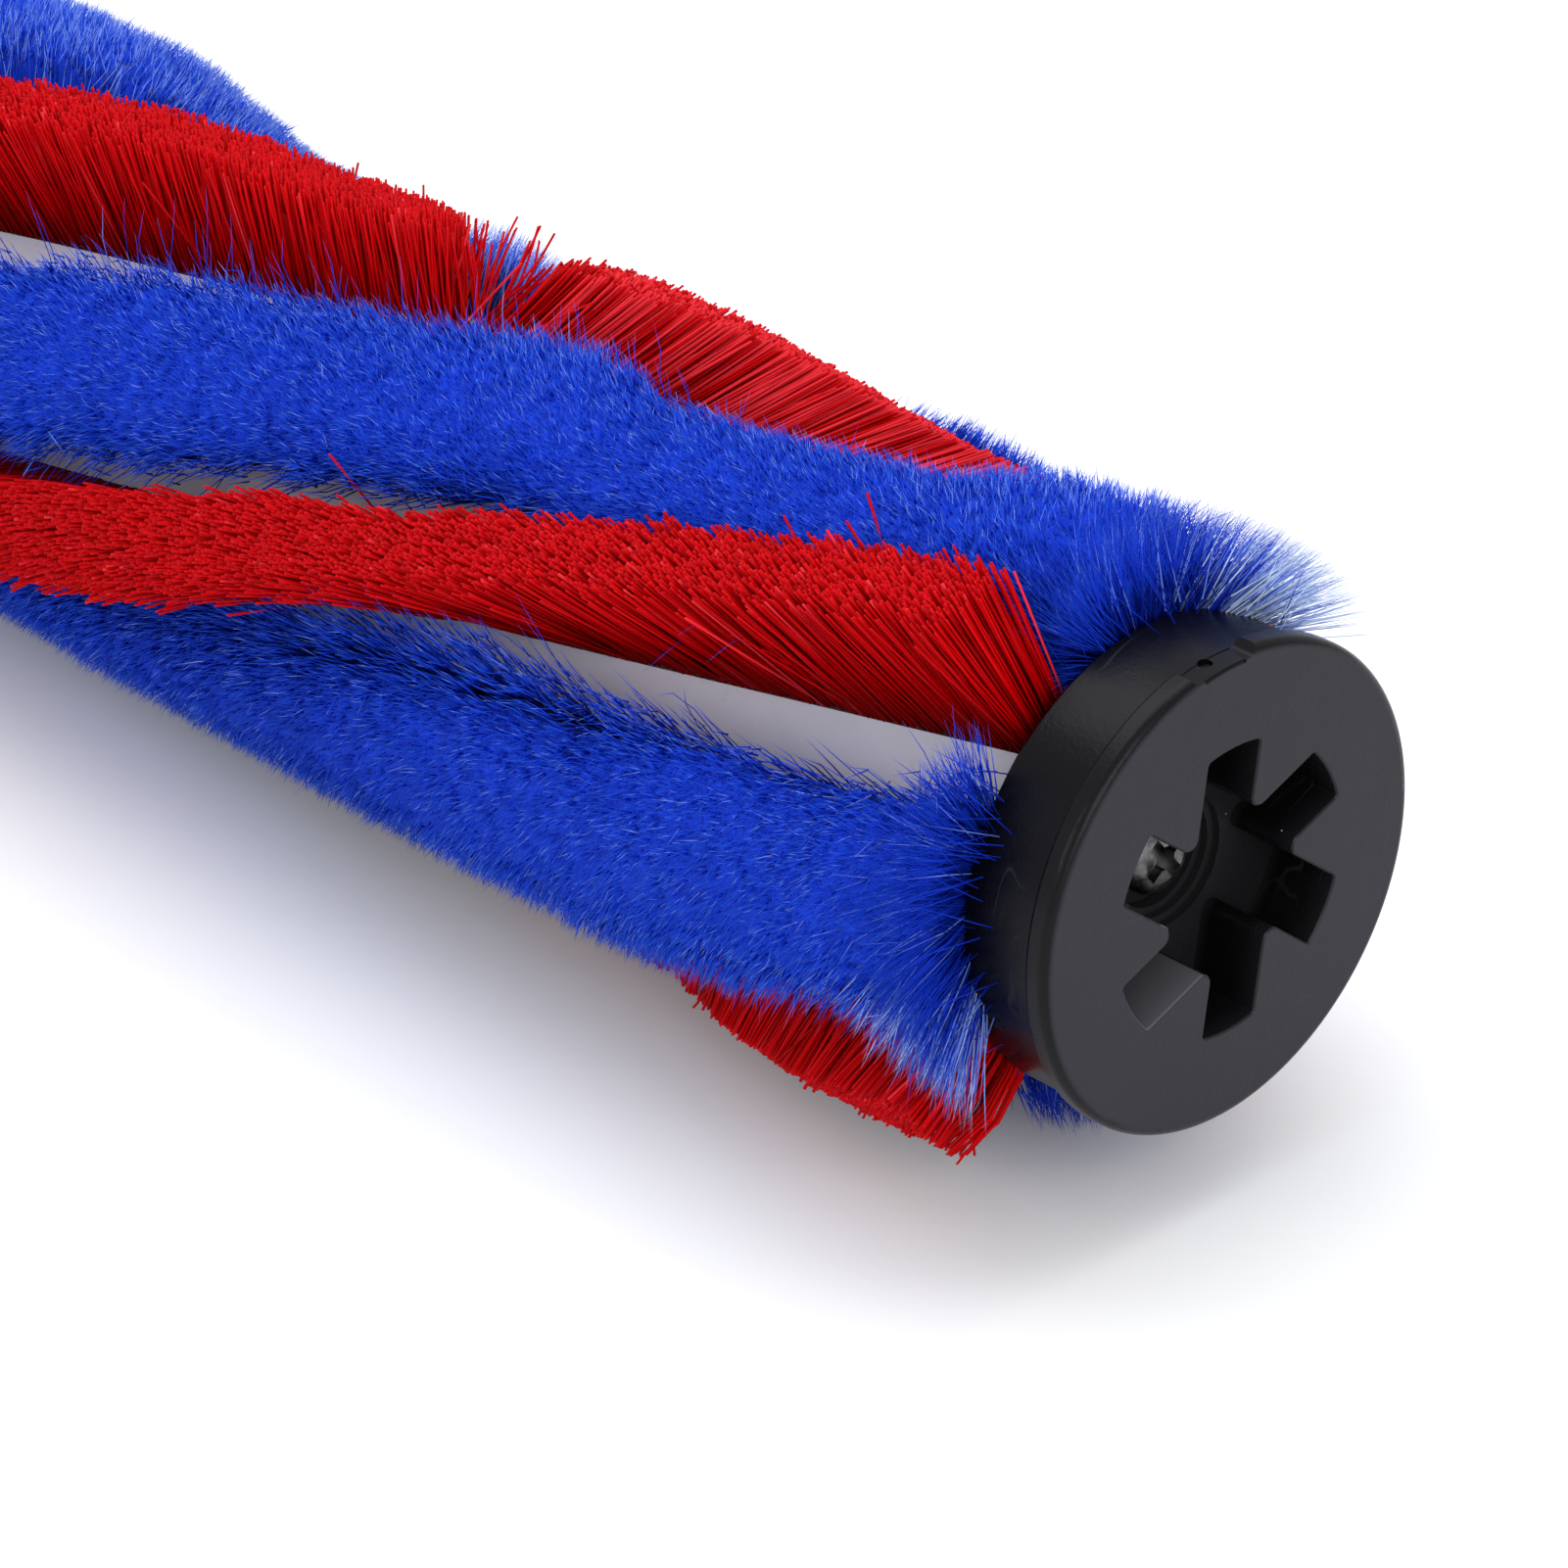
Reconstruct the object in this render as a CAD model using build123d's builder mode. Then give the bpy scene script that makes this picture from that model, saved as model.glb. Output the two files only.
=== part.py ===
from build123d import *
import os
from math import sin, cos, radians

os.makedirs("parts", exist_ok=True)

# ---------------------------------------------------------------------------
# Vacuum roller brush. Millimetres, +Z up. The roller's axis is the X axis, the
# drive end is at +X, and the origin is the middle of the overall length.
# phi is the angle about +X, from +Z towards -Y.
# ---------------------------------------------------------------------------

# overall
X_FACE = 113.0            # outer face of the drive end cap
X_END = -113.0            # tip of the boss on the end holder

# rows of bristles
R_TIP = 25.0              # cut tips of the filaments
TWIST = 0.665             # helix, degrees for each millimetre of length
PHI_RED = 30.0            # red row 1 at the drive face
ROWS = 4                  # rows of each colour
RED_LEAN = -8.0           # degrees that the red tips lean from their base
RED_TIP_HALF = 6.75       # half width of the red tips, degrees
BLUE_TIP_HALF = 16.0      # half width of the blue tips, degrees
X_ROW_LO = -95.0          # rows run from here
X_ROW_HI = 104.0          # to here

# core
R_CORE = 14.8
R_BORE = 10.2
X_CORE_LO = -95.35
X_CORE_HI = 104.35
X_WEB_LO = 86.0           # cross wall that takes the screw
X_WEB_HI = 92.0
R_PILOT = 1.52

# helical slots in the core and the rails in them
SLOT_R0, SLOT_R1 = 11.6, 13.0
RED_SLOT_W, RED_NECK_W = 6.2, 4.0
BLUE_SLOT_W, BLUE_NECK_W = 9.6, 7.8
SIDE_GAP = 0.1            # play of rail and bristles in a slot

# drive end cap
R_FLANGE = 18.75
FLANGE_T = 2.0
R_WALL = 18.05
X_CAP_BACK = 104.4
R_SPIGOT = 10.15
X_SPIGOT = 92.1
STAR_R = 11.4             # outer radius of the socket's arms
STAR_W = 5.2              # width of an arm
STAR_OFFSET = 1.75        # how far an arm's middle line passes from the axis
STAR_PHASE = 1.0          # first arm, degrees
STAR_DEPTH = 6.0
STAR_INNER_FILLET = 0.9
NOTCH_FROM, NOTCH_TO = -3.5, 13.5   # gap in the flange, degrees
DIMPLE_R = 0.55
DIMPLE_PHI = 6.0
DIMPLE_X = 111.3

# screw
X_SEAT = 104.6
X_STEP = 105.7            # first step of the bore above the screw's head
SCREW_R, SCREW_HEAD_R, SCREW_HEAD_H = 1.5, 3.1, 2.0
X_SCREW_TIP = 86.8

# keys between end caps and core
KEY_W, KEY_R, KEY_L = 3.0, 11.0, 8.0
KEY_GAP = 0.1

# idler end
X_ICAP_IN = -95.4
X_ICAP_OUT = -104.0
X_ISPIGOT = -84.0
R_ITHROUGH = 6.5

# bearing, 5 x 16 x 5
BRG_X = -100.55           # middle plane
BRG_HALF = 2.5
BRG_RO, BRG_RI = 8.0, 2.5
BRG_LAND_O, BRG_LAND_I = 6.3, 4.3
BRG_PITCH_R = 5.3
BALL_R = 1.5
BALLS = 7
SEAT_GAP = 0.02

# stub axle, clip and end holder
AXLE_R = 2.48
AXLE_IN = -94.4
AXLE_SHOULDER_R = 3.7
AXLE_TAIL_R = 3.0
X_HOLDER_IN = -104.7
X_HOLDER_OUT = -108.0
HOLDER_R = 15.0
BOSS_R = 6.0
LUG_W, LUG_L, LUG_H = 3.0, 4.0, 2.2

ROW_L = X_ROW_HI - X_ROW_LO
CORE_L = X_CORE_HI - X_CORE_LO


def phi_at(phi0, x):
    """Angle at station x of a row that passes the drive face at phi0."""
    return phi0 + TWIST * (X_FACE - x)


def section(phi, x):
    """Cross-section plane at x: its x axis is radial at phi, its y axis follows phi."""
    p = radians(phi)
    return Plane(origin=(x, 0, 0), x_dir=(0, -sin(p), cos(p)), z_dir=(1, 0, 0))


def guide(x, length):
    """Left-hand helix that turns a section swept along +X from x."""
    helix = Helix(pitch=360.0 / TWIST, height=length, radius=10,
                  center=(x, 0, 0), direction=(1, 0, 0), lefthand=True)
    return helix.edges()[0]


red_angles = [PHI_RED + k * 360.0 / ROWS for k in range(ROWS)]
blue_angles = [a + 180.0 / ROWS for a in red_angles]

# ---------------------------------------------------------------------------
# core tube: eight helical slots outside, a long bore, a cross wall for the screw
# ---------------------------------------------------------------------------
red_at_core = phi_at(PHI_RED, X_CORE_LO)
blue_at_core = red_at_core + 180.0 / ROWS
with BuildPart() as core_tube:
    with BuildLine() as core_path:
        Line((X_CORE_LO, 0, 0), (X_CORE_HI, 0, 0))
    with BuildSketch(section(0, X_CORE_LO)):
        Circle(R_CORE)
        for first, slot_w, neck_w in ((red_at_core, RED_SLOT_W, RED_NECK_W),
                                      (blue_at_core, BLUE_SLOT_W, BLUE_NECK_W)):
            with PolarLocations((SLOT_R0 + SLOT_R1) / 2, ROWS, start_angle=first):
                Rectangle(SLOT_R1 - SLOT_R0, slot_w, mode=Mode.SUBTRACT)
            with PolarLocations((SLOT_R1 + R_CORE) / 2 + 0.5, ROWS, start_angle=first):
                Rectangle(R_CORE - SLOT_R1 + 1.4, neck_w, mode=Mode.SUBTRACT)
    sweep(path=core_path.wires()[0], binormal=guide(X_CORE_LO, CORE_L))
    with BuildSketch(Plane.YZ.offset(X_WEB_HI)):
        Circle(R_BORE)
    extrude(amount=X_CORE_HI - X_WEB_HI + 1, mode=Mode.SUBTRACT)
    with BuildSketch(Plane.YZ.offset(X_WEB_LO)):
        Circle(R_BORE)
    extrude(amount=-(X_WEB_LO - X_CORE_LO + 1), mode=Mode.SUBTRACT)
    with BuildSketch(Plane.YZ.offset(X_WEB_LO - 1)):
        Circle(R_PILOT)
    extrude(amount=X_WEB_HI - X_WEB_LO + 2, mode=Mode.SUBTRACT)
    # key grooves at both ends, between the slots
    for x_end, way in ((X_CORE_HI, -1), (X_CORE_LO, 1)):
        key_phi = phi_at(PHI_RED, x_end + way * KEY_L / 2) + 24.5
        with BuildSketch(section(key_phi, x_end)):
            with PolarLocations((R_BORE + KEY_R) / 2, 2):
                Rectangle(KEY_R - R_BORE + 1.6, KEY_W + 2 * KEY_GAP)
        extrude(amount=way * (KEY_L + 0.6), mode=Mode.SUBTRACT)
core_tube.part.label = "core_tube"
export_step(core_tube.part, "parts/core_tube.step")

# ---------------------------------------------------------------------------
# rails: flat backing strips that slide into the wide part of each slot
# ---------------------------------------------------------------------------
for colour, angles, slot_w in (("red", red_angles, RED_SLOT_W),
                               ("blue", blue_angles, BLUE_SLOT_W)):
    for i, a in enumerate(angles):
        with BuildPart() as rail:
            with BuildLine() as rail_path:
                Line((X_ROW_LO, 0, 0), (X_ROW_HI, 0, 0))
            with BuildSketch(section(phi_at(a, X_ROW_LO), X_ROW_LO)):
                with Locations(((SLOT_R0 + SLOT_R1) / 2, 0)):
                    Rectangle(SLOT_R1 - SLOT_R0 - 2 * SIDE_GAP, slot_w - 2 * SIDE_GAP)
            sweep(path=rail_path.wires()[0], binormal=guide(X_ROW_LO, ROW_L))
        rail.part.label = f"{colour}_rail_{i + 1}"
        export_step(rail.part, f"parts/{colour}_rail_{i + 1}.step")

# ---------------------------------------------------------------------------
# rows of bristles: one closed body each, rooted on the rail and cut at R_TIP
# ---------------------------------------------------------------------------
u_root = SLOT_R1 - SIDE_GAP + 0.05
u_lip = R_CORE + 0.1
for colour, angles, neck_w, lean, half in (
        ("red", red_angles, RED_NECK_W, RED_LEAN, RED_TIP_HALF),
        ("blue", blue_angles, BLUE_NECK_W, 0.0, BLUE_TIP_HALF)):
    w = neck_w / 2 - SIDE_GAP
    lo, mid, hi = (radians(lean - half), radians(lean), radians(lean + half))
    for i, a in enumerate(angles):
        with BuildPart() as row:
            with BuildLine() as row_path:
                Line((X_ROW_LO, 0, 0), (X_ROW_HI, 0, 0))
            with BuildSketch(section(phi_at(a, X_ROW_LO), X_ROW_LO)):
                with BuildLine():
                    ThreePointArc((R_TIP * cos(lo), R_TIP * sin(lo)),
                                  (R_TIP * cos(mid), R_TIP * sin(mid)),
                                  (R_TIP * cos(hi), R_TIP * sin(hi)))
                    Polyline((R_TIP * cos(hi), R_TIP * sin(hi)), (u_lip, w), (u_root, w),
                             (u_root, -w), (u_lip, -w), (R_TIP * cos(lo), R_TIP * sin(lo)))
                make_face()
            sweep(path=row_path.wires()[0], binormal=guide(X_ROW_LO, ROW_L))
        row.part.label = f"{colour}_bristle_row_{i + 1}"
        export_step(row.part, f"parts/{colour}_bristle_row_{i + 1}.step")

# ---------------------------------------------------------------------------
# drive end cap: flange, wall, spigot, star socket and the stepped bore behind it
# ---------------------------------------------------------------------------
with BuildPart() as drive_end_cap:
    with BuildSketch(Plane.XZ):
        with BuildLine():
            Polyline((X_FACE, 5.2), (X_FACE, R_FLANGE), (X_FACE - FLANGE_T, R_FLANGE),
                     (X_FACE - FLANGE_T, R_WALL), (X_CAP_BACK, R_WALL),
                     (X_CAP_BACK, R_SPIGOT), (X_SPIGOT, R_SPIGOT), (X_SPIGOT, 8.2),
                     (X_SEAT - 2.6, 8.2), (X_SEAT - 2.6, 4.8), (X_SPIGOT, 4.8),
                     (X_SPIGOT, 1.75), (X_SEAT, 1.75), (X_SEAT, 4.1),
                     (X_STEP, 4.1), (X_STEP, 4.65), (X_STEP + 0.65, 4.65),
                     (X_STEP + 0.65, 5.2), (X_FACE, 5.2))
        make_face()
    revolve(axis=Axis.X)
    front = drive_end_cap.edges().filter_by(GeomType.CIRCLE).filter_by(
        lambda e: abs(e.radius - R_FLANGE) < 1e-3)
    fillet(front.sort_by(Axis.X)[-1:], radius=0.8)
    back = drive_end_cap.edges().filter_by(GeomType.CIRCLE).filter_by(
        lambda e: abs(e.radius - R_FLANGE) < 1e-3)
    fillet(back.sort_by(Axis.X)[:1], radius=0.3)
    rim = drive_end_cap.edges().filter_by(GeomType.CIRCLE).filter_by(
        lambda e: abs(e.radius - R_WALL) < 1e-3)
    fillet(rim.sort_by(Axis.X)[:1], radius=0.35)
    # gap in the flange: the wall runs through it to the face, with eased ends
    with BuildSketch(section(0, X_FACE)) as notch:
        with BuildLine():
            n0, n1 = radians(NOTCH_FROM), radians(NOTCH_TO)
            s0, s1 = radians(NOTCH_FROM - 3.4), radians(NOTCH_TO + 2.2)
            nm = (n0 + n1) / 2
            r_in, r_out = R_WALL - 0.05, R_FLANGE + 0.6
            ThreePointArc((r_in * cos(n0), r_in * sin(n0)), (r_in * cos(nm), r_in * sin(nm)),
                          (r_in * cos(n1), r_in * sin(n1)))
            Line((r_in * cos(n1), r_in * sin(n1)), (r_out * cos(s1), r_out * sin(s1)))
            ThreePointArc((r_out * cos(s1), r_out * sin(s1)), (r_out * cos(nm), r_out * sin(nm)),
                          (r_out * cos(s0), r_out * sin(s0)))
            Line((r_out * cos(s0), r_out * sin(s0)), (r_in * cos(n0), r_in * sin(n0)))
        make_face()
        inner = notch.vertices().filter_by(
            lambda v: (v.X ** 2 + v.Y ** 2) ** 0.5 < R_WALL + 0.1)
        fillet(inner, radius=0.7)
    extrude(amount=-FLANGE_T - 0.02, mode=Mode.SUBTRACT)
    # bevelled lip where the wall meets the face in the gap
    lip_from = NOTCH_FROM + 2.0
    with BuildSketch(Plane(origin=(0, 0, 0), x_dir=(1, 0, 0),
                           z_dir=(0, -cos(radians(lip_from)), -sin(radians(lip_from))))):
        with BuildLine():
            Polyline((X_FACE - 0.28, r_in + 0.02), (X_FACE + 0.05, r_in + 0.02),
                     (X_FACE + 0.05, r_in - 0.27), (X_FACE - 0.28, r_in + 0.02))
        make_face()
    revolve(axis=Axis.X, revolution_arc=NOTCH_TO - NOTCH_FROM - 4.0, mode=Mode.SUBTRACT)
    # round mark on the wall inside the gap
    with BuildSketch(Plane(origin=(DIMPLE_X, -(R_WALL + 1) * sin(radians(DIMPLE_PHI)),
                                   (R_WALL + 1) * cos(radians(DIMPLE_PHI))),
                           x_dir=(1, 0, 0),
                           z_dir=(0, -sin(radians(DIMPLE_PHI)), cos(radians(DIMPLE_PHI))))):
        Circle(DIMPLE_R)
    extrude(amount=-1.3, mode=Mode.SUBTRACT)
    # star socket: six parallel-sided arms that pass the axis on one side
    with BuildSketch(section(STAR_PHASE, X_FACE)) as star:
        Circle(5.0)
        half_arm = STAR_W / 2
        with PolarLocations(0, 6):
            Polygon((0, STAR_OFFSET + half_arm), (0, STAR_OFFSET - half_arm),
                    (STAR_R * 1.1, -STAR_OFFSET * 0.1 - half_arm),
                    (STAR_R * 1.1, -STAR_OFFSET * 0.1 + half_arm), align=None)
        Circle(STAR_R, mode=Mode.INTERSECT)
        corners = star.vertices().filter_by(
            lambda v: (v.X ** 2 + v.Y ** 2) ** 0.5 < STAR_R - 2)
        fillet(corners, radius=STAR_INNER_FILLET)
        tips = star.vertices().filter_by(
            lambda v: (v.X ** 2 + v.Y ** 2) ** 0.5 > STAR_R - 0.2)
        fillet(tips, radius=0.3)
    extrude(amount=-STAR_DEPTH, mode=Mode.SUBTRACT)
    # eased mouth of the socket
    mouth = drive_end_cap.edges().filter_by(
        lambda e: max(abs(v.X - X_FACE) for v in e.vertices()) < 1e-4
        and max((v.Y ** 2 + v.Z ** 2) ** 0.5 for v in e.vertices()) < STAR_R + 0.1)
    chamfer(mouth, length=0.15)
    # keys on the spigot
    key_phi = phi_at(PHI_RED, X_CORE_HI - KEY_L / 2) + 24.5
    with BuildSketch(section(key_phi, X_CAP_BACK)):
        with PolarLocations((R_SPIGOT + KEY_R) / 2 - 0.5, 2):
            Rectangle(KEY_R - R_SPIGOT + 1.0, KEY_W)
    extrude(amount=-KEY_L)
drive_end_cap.part.label = "drive_end_cap"
export_step(drive_end_cap.part, "parts/drive_end_cap.step")

# ---------------------------------------------------------------------------
# screw on the axis, with a cross recess
# ---------------------------------------------------------------------------
with BuildPart() as drive_cap_screw:
    with BuildSketch(Plane.XZ):
        with BuildLine():
            Polyline((X_SCREW_TIP, 0), (X_SCREW_TIP, 0.5), (X_SCREW_TIP + 0.8, SCREW_R),
                     (X_SEAT + 0.02, SCREW_R), (X_SEAT + 0.02, SCREW_HEAD_R),
                     (X_SEAT + SCREW_HEAD_H * 0.55, SCREW_HEAD_R))
            ThreePointArc((X_SEAT + SCREW_HEAD_H * 0.55, SCREW_HEAD_R),
                          (X_SEAT + SCREW_HEAD_H * 0.84, SCREW_HEAD_R * 0.86),
                          (X_SEAT + SCREW_HEAD_H, SCREW_HEAD_R * 0.62))
            Polyline((X_SEAT + SCREW_HEAD_H, SCREW_HEAD_R * 0.62), (X_SEAT + SCREW_HEAD_H, 0),
                     (X_SCREW_TIP, 0))
        make_face()
    revolve(axis=Axis.X)
    with BuildSketch(section(40, X_SEAT + SCREW_HEAD_H)):
        Rectangle(3.8, 1.05)
        Rectangle(1.05, 3.8)
        Circle(0.95)
    extrude(amount=-1.2, mode=Mode.SUBTRACT)
drive_cap_screw.part.label = "drive_cap_screw"
export_step(drive_cap_screw.part, "parts/drive_cap_screw.step")

# ---------------------------------------------------------------------------
# idler end cap: same outline, bearing seat instead of the socket
# ---------------------------------------------------------------------------
x_seat_floor = BRG_X + BRG_HALF + 0.05
with BuildPart() as idler_end_cap:
    with BuildSketch(Plane.XZ):
        with BuildLine():
            Polyline((X_ICAP_OUT, BRG_RO + SEAT_GAP), (X_ICAP_OUT, R_FLANGE),
                     (X_ICAP_OUT + FLANGE_T, R_FLANGE), (X_ICAP_OUT + FLANGE_T, R_WALL),
                     (X_ICAP_IN, R_WALL), (X_ICAP_IN, R_SPIGOT), (X_ISPIGOT, R_SPIGOT),
                     (X_ISPIGOT, R_ITHROUGH), (x_seat_floor, R_ITHROUGH),
                     (x_seat_floor, BRG_RO + SEAT_GAP), (X_ICAP_OUT, BRG_RO + SEAT_GAP))
        make_face()
    revolve(axis=Axis.X)
    outer = idler_end_cap.edges().filter_by(GeomType.CIRCLE).filter_by(
        lambda e: abs(e.radius - R_FLANGE) < 1e-3)
    fillet(outer.sort_by(Axis.X)[:1], radius=0.8)
    inner_rim = idler_end_cap.edges().filter_by(GeomType.CIRCLE).filter_by(
        lambda e: abs(e.radius - R_WALL) < 1e-3)
    fillet(inner_rim.sort_by(Axis.X)[-1:], radius=0.35)
    mouth = idler_end_cap.edges().filter_by(GeomType.CIRCLE).filter_by(
        lambda e: abs(e.radius - BRG_RO - SEAT_GAP) < 1e-3)
    chamfer(mouth.sort_by(Axis.X)[:1], length=0.4)
    key_phi = phi_at(PHI_RED, X_CORE_LO + KEY_L / 2) + 24.5
    with BuildSketch(section(key_phi, X_ICAP_IN)):
        with PolarLocations((R_SPIGOT + KEY_R) / 2 - 0.5, 2):
            Rectangle(KEY_R - R_SPIGOT + 1.0, KEY_W)
    extrude(amount=KEY_L)
idler_end_cap.part.label = "idler_end_cap"
export_step(idler_end_cap.part, "parts/idler_end_cap.step")

# ---------------------------------------------------------------------------
# ball bearing
# ---------------------------------------------------------------------------
with BuildPart() as bearing_outer_ring:
    with BuildSketch(Plane.XZ):
        with Locations((BRG_X, (BRG_RO + BRG_LAND_O) / 2)):
            Rectangle(2 * BRG_HALF, BRG_RO - BRG_LAND_O)
        with Locations((BRG_X, BRG_PITCH_R)):
            Circle(BALL_R + 0.04, mode=Mode.SUBTRACT)
    revolve(axis=Axis.X)
    o_edges = bearing_outer_ring.edges().filter_by(GeomType.CIRCLE).filter_by(
        lambda e: abs(e.radius - BRG_RO) < 1e-3)
    fillet(o_edges, radius=0.3)
bearing_outer_ring.part.label = "bearing_outer_ring"
export_step(bearing_outer_ring.part, "parts/bearing_outer_ring.step")

with BuildPart() as bearing_inner_ring:
    with BuildSketch(Plane.XZ):
        with Locations((BRG_X, (BRG_RI + BRG_LAND_I) / 2)):
            Rectangle(2 * BRG_HALF, BRG_LAND_I - BRG_RI)
        with Locations((BRG_X, BRG_PITCH_R)):
            Circle(BALL_R + 0.04, mode=Mode.SUBTRACT)
    revolve(axis=Axis.X)
    i_edges = bearing_inner_ring.edges().filter_by(GeomType.CIRCLE).filter_by(
        lambda e: abs(e.radius - BRG_RI) < 1e-3)
    fillet(i_edges, radius=0.25)
bearing_inner_ring.part.label = "bearing_inner_ring"
export_step(bearing_inner_ring.part, "parts/bearing_inner_ring.step")

with BuildPart() as bearing_balls:
    with Locations(Plane.YZ.offset(BRG_X)):
        with PolarLocations(BRG_PITCH_R, BALLS):
            Sphere(BALL_R)
bearing_balls.part.label = "bearing_balls"
export_step(bearing_balls.part, "parts/bearing_balls.step")

with BuildPart() as bearing_cage:
    with BuildSketch(Plane.YZ.offset(BRG_X - 0.8)):
        Circle(5.85)
        Circle(4.75, mode=Mode.SUBTRACT)
    extrude(amount=2.85)
    with Locations(Plane.YZ.offset(BRG_X)):
        with PolarLocations(BRG_PITCH_R, BALLS):
            Sphere(BALL_R + 0.06, mode=Mode.SUBTRACT)
bearing_cage.part.label = "bearing_cage"
export_step(bearing_cage.part, "parts/bearing_cage.step")

for name, x_shield in (("bearing_shield_inner", BRG_X + 2.2), ("bearing_shield_outer", BRG_X - 2.45)):
    with BuildPart() as shield:
        with BuildSketch(Plane.YZ.offset(x_shield)):
            Circle(BRG_LAND_O - 0.02)
            Circle(BRG_LAND_I + 0.12, mode=Mode.SUBTRACT)
        extrude(amount=0.25)
    shield.part.label = name
    export_step(shield.part, f"parts/{name}.step")

# ---------------------------------------------------------------------------
# stub axle, clip and end holder: these stay still in the cleaner head
# ---------------------------------------------------------------------------
clip_x = BRG_X + BRG_HALF + 0.1
with BuildPart() as stub_axle:
    with BuildSketch(Plane.XZ):
        with BuildLine():
            x_sh = BRG_X - BRG_HALF - 0.02
            Polyline((AXLE_IN, 0), (AXLE_IN, AXLE_R - 0.5), (AXLE_IN - 0.5, AXLE_R),
                     (clip_x + 0.72, AXLE_R), (clip_x + 0.72, 1.9), (clip_x - 0.02, 1.9),
                     (clip_x - 0.02, AXLE_R), (x_sh, AXLE_R), (x_sh, AXLE_SHOULDER_R),
                     (X_HOLDER_IN - 0.9, AXLE_SHOULDER_R), (X_HOLDER_IN - 0.9, AXLE_TAIL_R),
                     (-111.0, AXLE_TAIL_R), (-111.5, AXLE_TAIL_R - 0.5), (-111.5, 0),
                     (AXLE_IN, 0))
        make_face()
    revolve(axis=Axis.X)
stub_axle.part.label = "stub_axle"
export_step(stub_axle.part, "parts/stub_axle.step")

with BuildPart() as axle_clip:
    with BuildSketch(Plane.YZ.offset(clip_x + 0.05)) as clip_sk:
        Circle(4.6)
        Circle(1.93, mode=Mode.SUBTRACT)
        with Locations((0, -3.5)):
            Rectangle(2.9, 7.0, mode=Mode.SUBTRACT)
        with PolarLocations(2.6, 3, start_angle=90):
            Circle(0.62, mode=Mode.SUBTRACT)
    extrude(amount=0.6)
axle_clip.part.label = "axle_clip"
export_step(axle_clip.part, "parts/axle_clip.step")

with BuildPart() as end_holder:
    with BuildSketch(Plane.XZ):
        with BuildLine():
            Polyline((X_HOLDER_IN, AXLE_SHOULDER_R + 0.1), (X_HOLDER_IN, HOLDER_R),
                     (X_HOLDER_OUT, HOLDER_R), (X_HOLDER_OUT, BOSS_R), (X_END, BOSS_R),
                     (X_END, 0), (-111.55, 0), (-111.55, AXLE_TAIL_R + SEAT_GAP),
                     (X_HOLDER_IN - 0.95, AXLE_TAIL_R + SEAT_GAP),
                     (X_HOLDER_IN - 0.95, AXLE_SHOULDER_R + 0.1),
                     (X_HOLDER_IN, AXLE_SHOULDER_R + 0.1))
        make_face()
    revolve(axis=Axis.X)
    rims = end_holder.edges().filter_by(GeomType.CIRCLE).filter_by(
        lambda e: abs(e.radius - HOLDER_R) < 1e-3)
    fillet(rims, radius=0.6)
    with BuildSketch(Plane.YZ.offset(X_HOLDER_OUT)):
        with PolarLocations(11.0, 2, start_angle=0):
            Rectangle(LUG_L, LUG_W)
    extrude(amount=-LUG_H)
    tip = end_holder.edges().filter_by(GeomType.CIRCLE).filter_by(
        lambda e: abs(e.radius - BOSS_R) < 1e-3)
    chamfer(tip.sort_by(Axis.X)[:1], length=0.5)
end_holder.part.label = "end_holder"
export_step(end_holder.part, "parts/end_holder.step")
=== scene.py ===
import math

import bpy
import numpy as np
from mathutils import Matrix, Vector


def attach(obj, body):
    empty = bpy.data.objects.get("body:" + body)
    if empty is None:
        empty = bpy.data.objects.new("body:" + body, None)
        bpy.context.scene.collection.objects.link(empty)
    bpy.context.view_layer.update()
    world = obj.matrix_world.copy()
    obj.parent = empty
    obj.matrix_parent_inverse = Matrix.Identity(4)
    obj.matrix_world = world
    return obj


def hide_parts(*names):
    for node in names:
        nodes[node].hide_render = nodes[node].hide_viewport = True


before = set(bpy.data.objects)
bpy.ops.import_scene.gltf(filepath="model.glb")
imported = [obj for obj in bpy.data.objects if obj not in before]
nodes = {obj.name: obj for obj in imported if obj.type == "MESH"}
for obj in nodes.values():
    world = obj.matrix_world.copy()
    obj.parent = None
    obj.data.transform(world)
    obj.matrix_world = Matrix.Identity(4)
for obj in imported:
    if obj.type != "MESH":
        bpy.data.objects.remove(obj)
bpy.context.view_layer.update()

scene = bpy.context.scene
MM = 0.001

# ---------------------------------------------------------------------------
# geometry shared with the CAD model, in millimetres and degrees
# ---------------------------------------------------------------------------
X_FACE = 113.0
TWIST = 0.665
X_LO, X_HI = -95.0, 104.0
R_ROOT = 14.55
R_TIP = 25.0
RED_PHI = [30.0, 120.0, 210.0, 300.0]
BLUE_PHI = [75.0, 165.0, 255.0, 345.0]


def base_phi(phi0, x):
    return phi0 + TWIST * (X_FACE - x)


def frames(x, phi):
    """Unit vectors along the axis, round it (+phi) and away from it."""
    p = np.radians(phi)
    zero = np.zeros_like(p)
    ex = np.stack([np.ones_like(p), zero, zero], 1)
    et = np.stack([zero, -np.cos(p), -np.sin(p)], 1)
    er = np.stack([zero, -np.sin(p), np.cos(p)], 1)
    return ex, et, er


def noise1(x, scale, seed):
    table = np.random.default_rng(seed).uniform(-1, 1, 2048)
    u = np.asarray(x, float) / scale + 900.0
    i = np.floor(u).astype(int)
    f = u - i
    f = f * f * (3 - 2 * f)
    return table[i % 2048] * (1 - f) + table[(i + 1) % 2048] * f


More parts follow.
